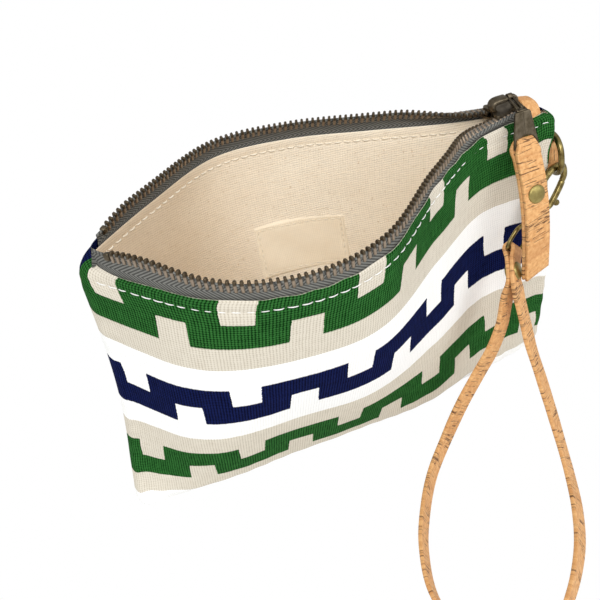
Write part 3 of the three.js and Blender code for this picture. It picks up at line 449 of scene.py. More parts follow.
def canvas_paint(name, down):
    paint = Paint(name, 0.9, shine=0.04)
    waver = paint.times(paint.noise(paint.flat, 0.9, 3), 0.03, -0.015)
    u = paint.math("ADD", paint.times(paint.u, 1 / PRINT_UNIT), waver)
    v = paint.math("ADD", paint.times(paint.v, 1 / PRINT_UNIT, down * GROUND_HEIGHT), waver)
    order = paint.math("FLOOR", paint.math("DIVIDE", v, GROUND_HEIGHT))
    level = paint.math("SUBTRACT", v, paint.times(order, GROUND_HEIGHT))
    natural = paint.math("PINGPONG", order, 1.0)
    sweep = paint.math("PINGPONG", u, 1.0)
    soft = 0.012
    upper = paint.step(sweep, NOTCH_HALF - soft, NOTCH_HALF + soft, NOTCH_DEPTH, 0)
    lower = paint.step(sweep, 1 - NOTCH_HALF - soft, 1 - NOTCH_HALF + soft, 0, NOTCH_DEPTH)
    below_top = paint.math("SUBTRACT", level, paint.math("ADD", upper, BAND_START))
    above_foot = paint.math("SUBTRACT", BAND_START + BAND_HEIGHT, paint.math("ADD", level, lower))
    inside = paint.times(paint.step(below_top, -soft, soft), paint.step(above_foot, -soft, soft))
    weave = paint.weave(1.25)
    fade = paint.noise(paint.flat, 0.05, 3, 0.6)
    ground = paint.mix(natural, (254, 254, 252), (222, 215, 200))
    ink = paint.mix(natural, (0, 2, 24), (2, 38, 6))
    worn = paint.mix(natural, (20, 31, 84), (54, 116, 54))
    ink = paint.mix(paint.step(weave, 0.42, 0.98, 0, 0.9), ink, worn)
    ink = paint.shade(ink, paint.times(fade, 0.30, 0.85))
    thread = paint.mix(natural, (238, 238, 236), (190, 180, 162))
    ground = paint.mix(paint.step(weave, 0.35, 0.85, 0.95, 0), ground, thread)
    paint.bump(weave, 0.00014, 0.5)
    return paint.finish(paint.mix(inside, ground, ink))


def lining_paint():
    paint = Paint("lining_canvas", 0.92)
    weave = paint.weave(1.15, 0.3, 0.96)
    base = paint.mix(paint.noise(paint.flat, 0.06, 3), (253, 243, 224), (246, 232, 210))
    fleck = paint.noise(paint.joined(paint.u, paint.times(paint.v, 0.5)), 0.75, 3, 0.6)
    base = paint.over(base, paint.step(fleck, 0.62, 0.72), 0.55, (196, 166, 128))
    slub = paint.noise(paint.joined(paint.times(paint.u, 0.15), paint.v), 0.9)
    base = paint.over(base, paint.step(slub, 0.6, 0.75), 0.3, (208, 182, 146))
    base = paint.shade(base, paint.times(weave, 0.36, 0.72))
    # Painted shade: up to 55 mm from its left end the lining is mixed 42% towards a darker warm tone,
    # fading out by 130 mm
    base = paint.mix(paint.step(paint.u, 55, 130, 0.42, 0), base, (186, 150, 104))
    paint.bump(weave, 0.00018, 0.6)
    return paint.finish(base)


def label_paint():
    paint = Paint("label_cotton", 0.85)
    weave = paint.weave(0.9)
    base = paint.mix(paint.noise(paint.flat, 0.12, 3), (250, 238, 216), (242, 226, 200))
    paint.bump(weave, 0.0001, 0.5)
    return paint.finish(paint.shade(base, paint.times(weave, 0.14, 0.9)))


TAPE_RIB = 1.0
THREAD_TWIST = 0.5


def tape_paint():
    paint = Paint("zip_tape_weave", 0.9)
    zigzag = paint.math("PINGPONG", paint.v, 4.0)
    slant = paint.times(paint.u, 0.5, paint.times(zigzag, 0.87))
    rib = paint.times(paint.math("SINE", paint.times(slant, 2 * math.pi / TAPE_RIB)), 0.5, 0.5)
    cloud = paint.noise(paint.flat, 0.5, 3)
    base = paint.mix(rib, (68, 68, 66), (124, 124, 119))
    base = paint.shade(base, paint.times(cloud, 0.4, 0.8))
    paint.bump(rib, 0.00015, 0.7)
    return paint.finish(base)


def thread_paint(name, light, dark):
    paint = Paint(name, 0.75, shine=0.2)
    twist = paint.math("SINE", paint.times(paint.math("ADD", paint.u, paint.v), 2 * math.pi / THREAD_TWIST))
    twist = paint.times(twist, 0.5, 0.5)
    paint.bump(twist, 0.0001, 0.6)
    base = paint.mix(paint.noise(paint.solid, 0.2, 2), light, dark)
    return paint.finish(paint.shade(base, paint.times(twist, 0.12, 0.9)))


# Cork: warm grain with fine specks and thin dark lines that run across the strip
def cork_paint():
    paint = Paint("cork_fabric", 0.62, shine=0.3)
    across = paint.times(paint.v, 0.07, paint.times(paint.u, 0.12))
    slow = paint.joined(paint.u, across, 3.0)
    grain = paint.noise(paint.flat, 0.55, 5, 0.65)
    base = paint.mix(paint.step(grain, 0.3, 0.7), (229, 180, 122), (201, 144, 88))
    tan = paint.step(paint.noise(slow, 0.16, 3, 0.6), 0.5, 0.7)
    base = paint.over(base, tan, 0.45, (184, 126, 76))
    speck = paint.step(paint.noise(paint.flat, 1.6, 3, 0.7), 0.62, 0.70)
    base = paint.over(base, speck, 0.55, (150, 98, 56))
    ridge = paint.math("ABSOLUTE", paint.math("SUBTRACT", paint.noise(slow, 0.36, 3, 0.55), 0.5))
    line = paint.step(ridge, 0.008, 0.024, 1, 0)
    broken = paint.step(paint.noise(paint.joined(paint.u, paint.v, 9.0), 0.17, 2), 0.43, 0.52)
    line = paint.times(line, broken)
    base = paint.over(base, line, 0.85, (84, 53, 33))
    pore = paint.step(paint.noise(paint.joined(paint.u, across, 5.0), 1.1, 3, 0.6), 0.66, 0.71)
    base = paint.over(base, pore, 0.8, (84, 54, 34))
    height = paint.math("SUBTRACT", grain, paint.math("ADD", line, paint.times(pore, 0.6)))
    paint.bump(height, 0.00015, 0.5)
    return paint.finish(base, paint.times(grain, 0.25, 0.48))


# Cast teeth: warm legs under darkened heads
def teeth_paint():
    paint = Paint("cast_teeth", 0.45, metallic=0.7, shine=0.4)
    cloud = paint.noise(paint.solid, 0.8, 3, 0.6)
    legs = paint.mix(cloud, (172, 156, 138), (124, 108, 92))
    heads = paint.mix(cloud, (104, 90, 70), (50, 42, 32))
    return paint.finish(paint.mix(paint.step(paint.u, 0.1, 0.7), legs, heads))


def metal_paint(name, bright, dark, roughness):
    paint = Paint(name, roughness, metallic=1, shine=0.5)
    cloud = paint.noise(paint.solid, 0.35, 4, 0.6)
    wear = paint.noise(paint.solid, 1.7, 3, 0.6)
    base = paint.mix(paint.step(cloud, 0.35, 0.68), bright, dark)
    base = paint.mix(paint.step(wear, 0.6, 0.75, 0, 0.35), base, bright)
    paint.bump(wear, 0.00003, 0.3)
    return paint.finish(base, paint.times(cloud, 0.3, roughness - 0.12))


CANVAS = {-1: canvas_paint("printed_canvas_front", 0), 1: canvas_paint("printed_canvas_back", 1.1)}
LINING = lining_paint()
LABEL = label_paint()
TAPE = tape_paint()
THREAD = thread_paint("white_thread", (252, 252, 250), (240, 240, 236))
TAN_THREAD = thread_paint("tan_thread", (150, 100, 56), (118, 76, 40))
LINING_THREAD = thread_paint("cream_thread", (252, 244, 228), (240, 228, 206))
CORK = cork_paint()
TEETH = teeth_paint()
ANTIQUE = metal_paint("antique_brass", (112, 102, 86), (84, 75, 60), 0.4)
BRASS = metal_paint("satin_brass", (166, 152, 96), (146, 131, 80), 0.42)
WIRE = metal_paint("wire_brass", (150, 135, 86), (104, 90, 54), 0.32)


# Walls of the pouch: foot, waist and lip lines through stations from the left seam to the right one,
# with the top right corner drawn out and the front lip rising to the end tab
def through_stations(values, share):
    values = np.asarray(values, float)
    last = len(values) - 1
    place = np.clip(np.asarray(share, float), 0, 1) * last
    span = np.minimum(place.astype(int), last - 1)
    k = place - span
    padded = np.concatenate([[2 * values[0] - values[1]], values, [2 * values[-1] - values[-2]]])
    p0, p1, p2, p3 = (padded[span + i] for i in range(4))
    m1, m2 = (p2 - p0) / 2, (p3 - p1) / 2
    return ((2 * (p1 - p2) + m1 + m2) * k + 3 * (p2 - p1) - 2 * m1 - m2) * k * k + m1 * k + p1


def wall_depth(wall, s, t):
    foot, waist, lip = (through_stations(wall[line], s) for line in ("foot", "waist", "lip"))
    a = WAIST_LEVEL
    shape = foot * (t - a) * (t - 1) / a + waist * t * (t - 1) / (a * (a - 1)) + lip * t * (t - a) / (1 - a)
    bow = through_stations(SEAM_BOW, s)
    return bow + (shape - bow) * smoothstep(t, 0, TUCK_LEVEL)


def wall_rise(wall, s):
    lean = through_stations(wall["lip"], s) - through_stations(SEAM_BOW, s)
    return np.sqrt(WALL_HEIGHT**2 - wall["sag"] * lean**2)


def rounded_off(radius, height):
    rest = np.maximum(radius - height, 0)
    return radius - np.sqrt(np.maximum(radius**2 - rest**2, 0))


def across_wall(s, t):
    q = 2 * s - 1
    width = SEAM_WIDTH + (MOUTH_WIDTH - SEAM_WIDTH) * t
    upper = np.where(q < 0, UPPER_CORNER[0], UPPER_CORNER[1])
    off = rounded_off(LOWER_CORNER, t * WALL_HEIGHT) + rounded_off(upper, (1 - t) * WALL_HEIGHT)
    return width / 2 * q - np.sign(q) * off * np.maximum((np.abs(q) - 0.88) / 0.12, 0) ** 2


def turned_edge(distance):
    return np.sqrt(1 - (1 - np.clip(distance / SEAM_TURN, 0, 1)) ** 2)


def wall_points(wall, s, t, depth):
    s, t, depth = (a.astype(float) for a in np.broadcast_arrays(s, t, depth))
    edge = turned_edge(np.minimum(s, 1 - s) * SEAM_WIDTH)
    near = np.where(s < 0.5, 0.0, 1.0)
    seam = (wall_depth(FRONT, near, t) + wall_depth(BACK, near, t)) / 2
    middle = wall_depth(wall, s, t)
    fullness = edge * turned_edge(t * WALL_HEIGHT)
    y = seam + (middle - seam) * edge + wall["side"] * (WALL_BUILD - depth) * fullness
    drawn = smoothstep(s, 0.9, 1) * smoothstep(t, 0.8, 1)
    z = t * wall_rise(wall, s) + CORNER_LIFT * drawn
    if wall is FRONT:
        z = z + TAB_LIFT * np.exp(-((s - TAB_SHARE) / TAB_SPREAD) ** 2) * smoothstep(t, 0.8, 1)
    return np.stack([across_wall(s, t) + CORNER_DRAWN * drawn, y - CORNER_DRAWN * drawn, z], -1)


def wall_normals(wall, s, t):
    h = 0.002
    run = wall_points(wall, s + h, t, 0) - wall_points(wall, s - h, t, 0)
    rise = wall_points(wall, s, np.minimum(t + h, 1), 0) - wall_points(wall, s, t - h, 0)
    return unit(np.cross(run, rise)) * -wall["side"]


# Soft unevenness of the sewn cloth, in millimetres, and the puckers beside its seams
def ripple(s, t, seed):
    high = t * WALL_HEIGHT
    wide = s * SEAM_WIDTH
    waves = 0.22 * np.sin(9 * s + 6 * t + seed) + 0.14 * np.sin(21 * s - 10 * t + 2.1 * seed)
    waves = waves + 0.08 * np.sin(43 * s + 17 * t + 3.3 * seed)
    beside = np.exp(-np.minimum(wide, SEAM_WIDTH - wide) / 7)
    side = beside * np.sin(high * 0.55 + 1.5 * np.sin(high * 0.11 + seed))
    foot = np.exp(-high / 8) * np.sin(wide * 0.5 + 1.7 * np.sin(wide * 0.09 + seed))
    top = np.exp(-(WALL_HEIGHT - high) / 9) * np.sin(wide * 0.36 + 2 * np.sin(wide * 0.07 + seed))
    return waves + 0.35 * side + 0.35 * foot + 0.28 * top


def eased(count):
    k = np.linspace(0, 1, count)
    return 0.6 * k + 0.4 * (0.5 - 0.5 * np.cos(math.pi * k))


# Place of the print on the cloth, and how far it is pulled, at the front and at the back
PRINT_LEFT = -15
PRINT_WIDTH = 248.75
PRINT_FOOT = 116.3
PRINT_HEIGHT = 155.1
PRINT_TURN = 3.6
PRINT_PULL = {-1: 4, 1: 0}
PRINT_SLIP = {-1: 7, 1: 0}

# Points up and along each cloth
CANVAS_ROWS = 140
CANVAS_COLUMNS = 230
LINING_ROWS = 90
LINING_COLUMNS = 170


# Distances over a sheet of points, along its rows and up its columns
def unroll(points):
    run = np.zeros(points.shape[:2])
    run[:, 1:] = np.cumsum(np.linalg.norm(np.diff(points, axis=1), axis=-1), 1)
    rise = np.zeros(points.shape[:2])
    rise[1:] = np.cumsum(np.linalg.norm(np.diff(points, axis=0), axis=-1), 0)
    return run, rise


# The left seam draws in between mouth and foot, and its lower corner kicks forward
def settle(points, s, t):
    inward = (1 - smoothstep(s, 0, 0.13)) * np.sin(math.pi * np.clip(t / 0.92, 0, 1))
    kicked = (1 - smoothstep(s, 0, 0.19)) * (1 - smoothstep(t, 0, 0.22))
    points[..., 0] += SEAM_DRAWN * inward
    points[..., 1] += SEAM_BACK * inward - CORNER_KICK * kicked


def canvas(wall):
    side, name = wall["side"], wall["name"]
    s = eased(CANVAS_COLUMNS)
    roll = np.linspace(0, math.pi, 7)[1:]
    radius = PANEL_THICKNESS / 2
    inner = np.linspace(1, 0.9, 8)[1:]
    t = np.concatenate([eased(CANVAS_ROWS), 1 + radius * np.sin(roll) / WALL_HEIGHT, inner])[:, None]
    rolled = radius * (1 - np.cos(roll))
    depth = np.concatenate([np.zeros(CANVAS_ROWS), rolled, np.full(len(inner), PANEL_THICKNESS)])
    points = wall_points(wall, s, t, depth[:, None])
    drop = (1 - t) * WALL_HEIGHT - TOPSTITCH_DROP
    waves = ripple(s, t, 1.3 + side) - 0.3 * np.exp(-(drop / 1.1) ** 2)
    full = turned_edge(np.minimum(s, 1 - s) * SEAM_WIDTH) * turned_edge(t * WALL_HEIGHT)
    points[..., 1] += side * waves * full
    run, rise = unroll(points)
    share = run / run[:, -1:]
    drawn = PRINT_TURN * smoothstep(t, 0.9, 1) * (1 - smoothstep(s, 0.04, 0.25))
    drawn = drawn + PRINT_PULL[side] * smoothstep(s, 0.86, 1)
    slipped = PRINT_SLIP[side] * (1 - smoothstep(s, 0, 0.27)) * (1 - smoothstep(t, 0, 0.27))
    flat = np.stack([
        PRINT_LEFT + PRINT_WIDTH * (share if side < 0 else 1 - share) + drawn,
        PRINT_FOOT - PRINT_HEIGHT * rise / rise[CANVAS_ROWS - 1] + slipped,
    ], -1)
    settle(points, s, t)
    skin = Skin()
    skin.grid(points, flat, flip=side > 0)
    return skin.piece(name + "_canvas", CANVAS[side], "bag", name + "_panel", slot="canvas_" + name)


def lining(wall):
    side, name = wall["side"], wall["name"] + "_lining"
    s = eased(LINING_COLUMNS)
    level = LINING_LEVEL[side]
    inner = eased(LINING_ROWS) * level
    roll = np.linspace(0, math.pi, 6)[1:]
    radius = (LINING_INNER - LINING_OUTER) / 2
    behind = np.linspace(level, 0.9, 5)[1:]
    t = np.concatenate([inner, level + radius * np.sin(roll) / WALL_HEIGHT, behind])[:, None]
    rolled = LINING_OUTER + radius * (1 + np.cos(roll))
    depth = np.concatenate([np.full(LINING_ROWS, LINING_INNER), rolled, np.full(len(behind), LINING_OUTER)])
    points = wall_points(wall, s, t, depth[:, None])
    slack = smoothstep(1 - t, 0.02, 0.2) * turned_edge(np.minimum(s, 1 - s) * SEAM_WIDTH * 0.4)
    folds = 0.5 + 0.5 * np.sin(26 * s + 5 * t + 2 * np.sin(9 * t + side))
    points[..., 1] -= side * 0.7 * slack * folds * turned_edge(t * WALL_HEIGHT * 0.4)
    groove = np.exp(-(((level - inner) * WALL_HEIGHT - LINING_STITCH_DROP) / 0.9) ** 2)
    points[:LINING_ROWS, :, 1] += side * 0.42 * groove[:, None]
    flat = np.stack(unroll(points), -1)
    settle(points, s, t)
    skin = Skin()
    skin.grid(points, flat, flip=side < 0)
    return skin.piece(name + "_cloth", LINING, "bag", name, slot="lining")


def panel_stitches(wall):
    s = np.linspace(0.022, 0.985, 400)
    t = 1 - (TOPSTITCH_DROP - 1.2 * smoothstep(s, 0.4, 0.75)) / WALL_HEIGHT
    skin = Skin()
    stitches(skin, wall_points(wall, s, t, 0.12), wall_normals(wall, s, t))
    return skin.piece(wall["name"] + "_topstitch", THREAD, "bag")


def lining_stitches(wall):
    s = np.linspace(0.03, 0.97, 400)
    t = np.full(len(s), LINING_LEVEL[wall["side"]] - LINING_STITCH_DROP / WALL_HEIGHT)
    path = wall_points(wall, s, t, LINING_INNER + 0.05)
    skin = Skin()
    stitches(skin, path, -wall_normals(wall, s, t), pitch=4.4, length=3.2, radius=0.36)
    return skin.piece(wall["name"] + "_lining_stitch", LINING_THREAD, "bag")


# Cotton label sewn to the back lining
LABEL_WIDTH = 45
LABEL_HEIGHT = 27
LABEL_X = -1.5
LABEL_Z = 89
LABEL_HEM = 2.2


def on_back_lining(a, b, depth):
    x, z = LABEL_X + a, LABEL_Z + b
    s = np.full(np.shape(x), 0.5)
    for _ in range(4):
        t = z / wall_rise(BACK, s)
        s = x / (SEAM_WIDTH + (MOUTH_WIDTH - SEAM_WIDTH) * t) + 0.5
    return wall_points(BACK, s, t, depth)


def label():
    a, b = np.meshgrid(np.linspace(-1, 1, 61) * LABEL_WIDTH / 2, np.linspace(-1, 1, 37) * LABEL_HEIGHT / 2)
    edge = np.minimum(LABEL_WIDTH / 2 - np.abs(a), LABEL_HEIGHT / 2 - np.abs(b))
    rise = np.sqrt(1 - (1 - np.clip(edge / 0.9, 0, 1)) ** 2)
    dimple = 0.22 * np.exp(-((edge - LABEL_HEM) / 0.7) ** 2)
    swell = 1 + 0.15 * np.sin(a * 0.2 + b * 0.3)
    skin = Skin()
    skin.grid(on_back_lining(a, b, LINING_INNER + rise * swell - dimple), np.stack([a, b], -1))
    return skin.piece("label_patch", LABEL, "bag", "label", slot="label")


def label_stitches():
    w, h = LABEL_WIDTH / 2 - LABEL_HEM, LABEL_HEIGHT / 2 - LABEL_HEM
    corners = np.array([(-w, -h), (w, -h), (w, h), (-w, h), (-w, -h)])
    a, b = along(corners, np.linspace(0, lengths(corners)[-1], 300)).T
    places = on_back_lining(a, b, LINING_INNER + 0.95)
    skin = Skin()
    stitches(skin, places, [0.0, -1.0, 0.1], pitch=3.2, length=2.3, radius=0.22)
    return skin.piece("label_thread", LINING_THREAD, "bag")


# Zip: tapes that lean out of the open mouth and lie flat towards the slider, with a tooth row on each
def lip_share(x):
    s = np.linspace(0, 1, 2001)
    return np.interp(x, across_wall(s, np.ones(2001)), s)


def tape_lines(wall, x):
    side = wall["side"]
    s = lip_share(x)
    levels = (1 - TAPE_SEWN / WALL_HEIGHT, 1 - 3.5 / WALL_HEIGHT, 1.0)
    foot, rise, lip = (wall_points(wall, s, np.full(len(x), t), TAPE_LAYER) for t in levels)
    closed = smoothstep(lip[:, 0], SLIDER_THROAT - 35, SLIDER_THROAT - 3)[:, None]
    lean = np.radians(TAPE_LEAN + (90 - TAPE_LEAN) * closed[:, 0])
    towards = np.stack([np.zeros(len(x)), -side * np.sin(lean), np.cos(lean)], -1)
    swell = TAPE_SWELL * np.exp(-((x + 85) / 15) ** 2) if side < 0 else -TAPE_DIP * smoothstep(-x, 80, 96)
    shown = (TAPE_SHOWN + swell)[:, None]
    opened = lip + shown * np.array([0, -side * math.sin(math.radians(TAPE_LEAN)), 1])
    spread = CHAIN_HALF_GAP + CHAIN_SPREAD * np.maximum(MERGE_X - lip[:, 0], 0)
    meshed = np.stack([lip[:, 0], CHAIN_Y + side * spread, np.full(len(x), float(CHAIN_Z))], -1)
    edge = opened + (meshed - opened) * closed
    return foot, rise, lip, edge - TAPE_FLAT * towards, edge, towards


def tape(wall):
    x = np.linspace(ZIP_LEFT[wall["side"]], ZIP_RIGHT, TAPE_STEPS)
    foot, rise, lip, shoulder, edge, towards = tape_lines(wall, x)
    rings = []
    spans = []
    half = TAPE_THICKNESS / 2
    turns = np.radians(np.linspace(90, -90, 7))[:, None]
    for i in range(len(x)):
        line = curve([foot[i], rise[i], lip[i], shoulder[i], edge[i]], 4)
        facing = unit(np.cross(tangents(line), [1.0, 0.0, 0.0]))
        bead = edge[i] + TAPE_BEAD * (unit(towards[i]) * np.cos(turns) + facing[-1] * np.sin(turns))
        rings.append(np.concatenate([line + half * facing, bead, (line - half * facing)[::-1]]))
        across = lengths(line)
        spans.append(np.concatenate([across, np.full(7, across[-1] + 0.5), across[::-1], across[:1]]))
    run = np.broadcast_to(lengths(edge)[:, None], np.shape(spans))
    skin = Skin()
    skin.sweep(np.array(rings), np.stack([run, spans], -1), flip=wall["side"] < 0)
    return skin.piece(wall["name"] + "_tape", TAPE, "bag", wall["name"] + "_stringer", slot="zip_tape")


# One tooth, from the ends of its clamped legs to the rounded head, and the stop after the last tooth:
# reach, width and thickness
TOOTH = (
    (-2.4, 1.4, 0.84), (-2.2, 1.84, 1.2), (-0.5, 2.0, 1.28), (0.3, 2.04, 1.28), (0.7, 2.12, 1.2),
    (1.3, 2.12, 1.16), (1.7, 1.96, 1.1), (2.0, 1.6, 0.92), (2.12, 1.0, 0.6),
)
TOP_STOP = (
    (-1.8, 1.84, 2.08), (-1.65, 2.162, 2.444), (-1.2, 2.3, 2.6), (0.4, 2.3, 2.6), (0.95, 2.07, 2.34),
    (1.15, 1.426, 1.612),
)


def tooth_places(wall):
    x = np.linspace(ZIP_RIGHT - 1.5, TEETH_LEFT[wall["side"]], 700)
    *_, edge, towards = tape_lines(wall, x)
    offset = TOOTH_PITCH * (0.25 if wall["side"] < 0 else 0.75)
    places = np.arange(offset, lengths(edge)[-1], TOOTH_PITCH)
    origin = along(edge, places)
    reach = unit(along(edge, places, towards))
    line = along(edge, places, tangents(edge))
    line = unit(line - reach * np.sum(line * reach, -1, keepdims=True))
    return [Axes(o, r, np.cross(n, r), n) for o, r, n in zip(origin, reach, line)]


def teeth(wall):
    skin = Skin()
    for axes in tooth_places(wall)[:-1]:
        loft(skin, axes, TOOTH, 0.22, 1)
    return skin.piece(wall["name"] + "_teeth", TEETH, "bag", slot="antique_brass")


def top_stop(wall):
    name = wall["name"]
    skin = Skin()
    loft(skin, tooth_places(wall)[-1], TOP_STOP, 0.5, 3)
    return skin.piece(name + "_top_stop", ANTIQUE, "bag", "top_stop_" + name, slot="antique_brass")


soft_pieces = []
for make in (canvas, lining, panel_stitches, lining_stitches):
    soft_pieces += [make(FRONT), make(BACK)]
soft_pieces += [label(), label_stitches()]
for make in (tape, teeth, top_stop):
    soft_pieces += [make(FRONT), make(BACK)]
for piece in soft_pieces:
    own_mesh(piece)


# Cork tabs
END_TAB_X = 98.6
END_TAB_WIDTH = 8
RING_TAB_WIDTH = 13
TAB_THICKNESS = 1.6


def end_tab():
    front = [(-0.5, 148.2), (1.0, 151.2), (2.8, 153.4), (4.9, 154.4), (CHAIN_Y, 154.7)]
    line = curve(front + [(2 * CHAIN_Y - y, z) for y, z in front[-2::-1]], 7)
    path = np.column_stack([np.full(len(line), END_TAB_X), line])
    widths = 1 - 0.06 * np.exp(-((line[:, 0] - CHAIN_Y) / 2.2) ** 2)
    skin = Skin()
    section = rounded_section(END_TAB_WIDTH, TAB_THICKNESS, 0.6)
    ribbon(skin, path, unit([1, 0, -0.2]), section, widths=widths)
    skin.piece("end_tab_cork", CORK, "bag", "zip_end_tab", slot="cork")


def end_tab_stitches():
    aside = np.linspace(-3.2, 3.2, 20)
    path = np.column_stack([END_TAB_X + aside, np.full(20, 1.25), 152.3 - 0.2 * aside])
    skin = Skin()
    stitches(skin, path, [0.0, -0.72, 0.69], pitch=2.6, length=1.9, radius=0.22)
    skin.piece("end_tab_thread", TAN_THREAD, "bag")


# Ring with its bar in the tab and its bow towards the front, tipped up by the clasp
RING_CENTRE = (114.0651, 1.3176, 126.5)
RING_BOW = Axes(
    RING_CENTRE, (-0.3076, -0.9095, 0.2796), (-0.0053, 0.2955, 0.9553), (0.9515, -0.29237, 0.09579),
)
RING_PLACE = Axes(RING_CENTRE, (0.99497, 0, 0.10016), (0, 1, 0), (-0.10016, 0, 0.99497))
RING_REACH = 11.5
RING_HALF = 9.3
RING_WIRE = 1.4


def ring_tab():
    turns = np.radians(np.linspace(90, -90, 11))
    bend = 2.5 * np.stack([np.cos(turns), np.sin(turns)], -1)
    leg = curve([(-8.5, 0.9), (-6.2, 1.0), (-4.0, 1.75), (-1.8, 2.45)], 4)
    line = np.concatenate([leg, bend, leg[::-1] * [1, -1]])
    tilt = smoothstep(line[:, :1], -6, -1)
    across = RING_PLACE.turn[2] + (RING_BOW.turn[1] - RING_PLACE.turn[2]) * tilt
    skin = Skin()
    ribbon(skin, RING_PLACE.plane(line), across, rounded_section(RING_TAB_WIDTH, TAB_THICKNESS, 0.5))
    skin.piece("ring_tab_cork", CORK, "bag", "ring_tab", slot="cork")


# Cork strip folded over the puller's bar, bowing outwards as it hangs
STRIP_PLACE = Axes((89.8, -8.4143, 142.0566), (1, 0, 0), (0, 0.93969, -0.34202), (0, 0.34202, 0.93969))
STRIP_FOLD = 2.17
STRIP_LEG = 1.25
STRIP_CROWN = 3.4
STRIP_RUN = 4.3
STRIP_ASIDE = -1.1
STRIP_BOW = 4
STRIP_NARROWING = 0.34


def strip_bow(z):
    k = np.clip(-z / STRIP_LENGTH, 0, 1)
    return -STRIP_BOW * np.sin(math.pi * k**0.85)


def pull_strip():
    down = -np.concatenate([np.linspace(STRIP_LENGTH, STRIP_RUN, 40), np.linspace(STRIP_RUN, 0, 8)[1:]])
    spread = STRIP_LEG + (STRIP_FOLD - STRIP_LEG) * smoothstep(down, -STRIP_RUN, 0)
    front = np.stack([-spread, down], -1)
    turns = np.radians(np.linspace(180, 0, 13))[1:-1]
    bend = np.stack([STRIP_FOLD * np.cos(turns), STRIP_CROWN * np.sin(turns)], -1)
    line = np.concatenate([front, bend, (front * [-1, 1])[::-1]])
    ahead = tangents(line)
    facing = np.stack([-ahead[:, 1], ahead[:, 0]], -1)
    section = rounded_section(STRIP_WIDTH, CORK_THICKNESS, 0.45)
    share = np.clip((-line[:, 1] - STRIP_RUN) / (STRIP_LENGTH - STRIP_RUN), 0, 1)[:, None]
    x = section[None, :, 0] * (1 - STRIP_NARROWING * smoothstep(line[:, 1:], -2, STRIP_CROWN + 0.5))
    y = line[:, :1] + facing[:, :1] * section[None, :, 1]
    z = line[:, 1:] + facing[:, 1:] * section[None, :, 1] + share * x * math.tan(math.radians(STRIP_SLANT))
    points = np.stack([x + STRIP_ASIDE, y + strip_bow(z), z], -1)
    flat = unrolled(lengths(line), np.append(section[:, 0], section[0, 0]))
    skin = Skin()
    skin.sweep(STRIP_PLACE(points), flat, face=section)
    skin.piece("pull_strip_cork", CORK, "strip", "pull_strip", slot="cork")


RIVET_PROFILE = (
    (0.0, 1.18), (0.9, 1.16), (1.9, 1.05), (2.8, 0.86), (3.5, 0.6), (4.0, 0.28), (4.28, -0.05), (4.3, -0.3),
    (4.0, -0.5), (0.0, -0.5),
)


# Dome and heel of a rivet on the two faces of folded cork
def rivets(stem, body, middle, outward, side, leg):
    reach = leg + CORK_THICKNESS / 2 + RIVET_SEAT
    for sign, shape, node in ((1, "dome", "cap"), (-1, "heel", "back")):
        facing = sign * outward
        skin = Skin()
        lathe(skin, Axes(middle + reach * facing, side, facing, np.cross(side, facing)), RIVET_PROFILE, 32)
        skin.piece(f"{stem}_rivet_{shape}", BRASS, body, f"{stem}_rivet_{node}", slot="brass")


def pull_rivets():
    middle = STRIP_PLACE((STRIP_ASIDE, strip_bow(-STRIP_RIVET_DROP), -STRIP_RIVET_DROP))
    rivets("pull", "strip", middle, -STRIP_PLACE.turn[1], STRIP_PLACE.turn[0], STRIP_LEG)


def d_ring():
    turns = np.radians(np.linspace(-90, 90, 49))
    full = 2 / 2.35
    rise = np.sin(turns)
    high = np.sign(rise) * np.abs(rise) ** full
    bow = np.stack([RING_REACH * np.cos(turns) ** full, RING_HALF * high], -1)
    bar = np.stack([np.zeros(11), np.linspace(RING_HALF, -RING_HALF, 13)[1:-1]], -1)
    line = smoothed(np.concatenate([bow, bar]), 3)
    skin = Skin()
    tube(skin, RING_BOW.plane(line), RING_WIRE, RING_BOW.turn[2], 16, closed=True)
    skin.piece("ring_wire", WIRE, "ring", "d_ring", slot="brass")


# Swivel clasp
CLASP = Axes(
    (94.488, -12.6355, 101.2943),
    (0.71782, 0, -0.69623), (0.6769, 0.23397, 0.6979), (0.16289, -0.97224, 0.16795),
)
EYE_OUT = unit([-0.68317, -0.15327, 0.714])
HOOK_HEIGHT = 32
HOOK_REACH = 6
HOOK_BELLY = 6.6
HOOK_CROWN = HOOK_HEIGHT - 1.5
HOOK_TIP = HOOK_CROWN - 5.6
BLUNT_END = (0.99, 0.97, 0.9)
BARREL_RADIUS = 3.4
BARREL_LENGTH = 6
EYE_LENGTH = 14.8
GATE_PIVOT = (3.6, 8.6)
GATE_KNOB = ((0, 4.6), (0.8, 4.55), (1.35, 4.25), (1.6, 3.6), (1.45, 2.8), (1.1, 2.3), (1.1, -0.4))
EYE_BAR = CLASP.origin - CLASP.turn[1] * EYE_LENGTH


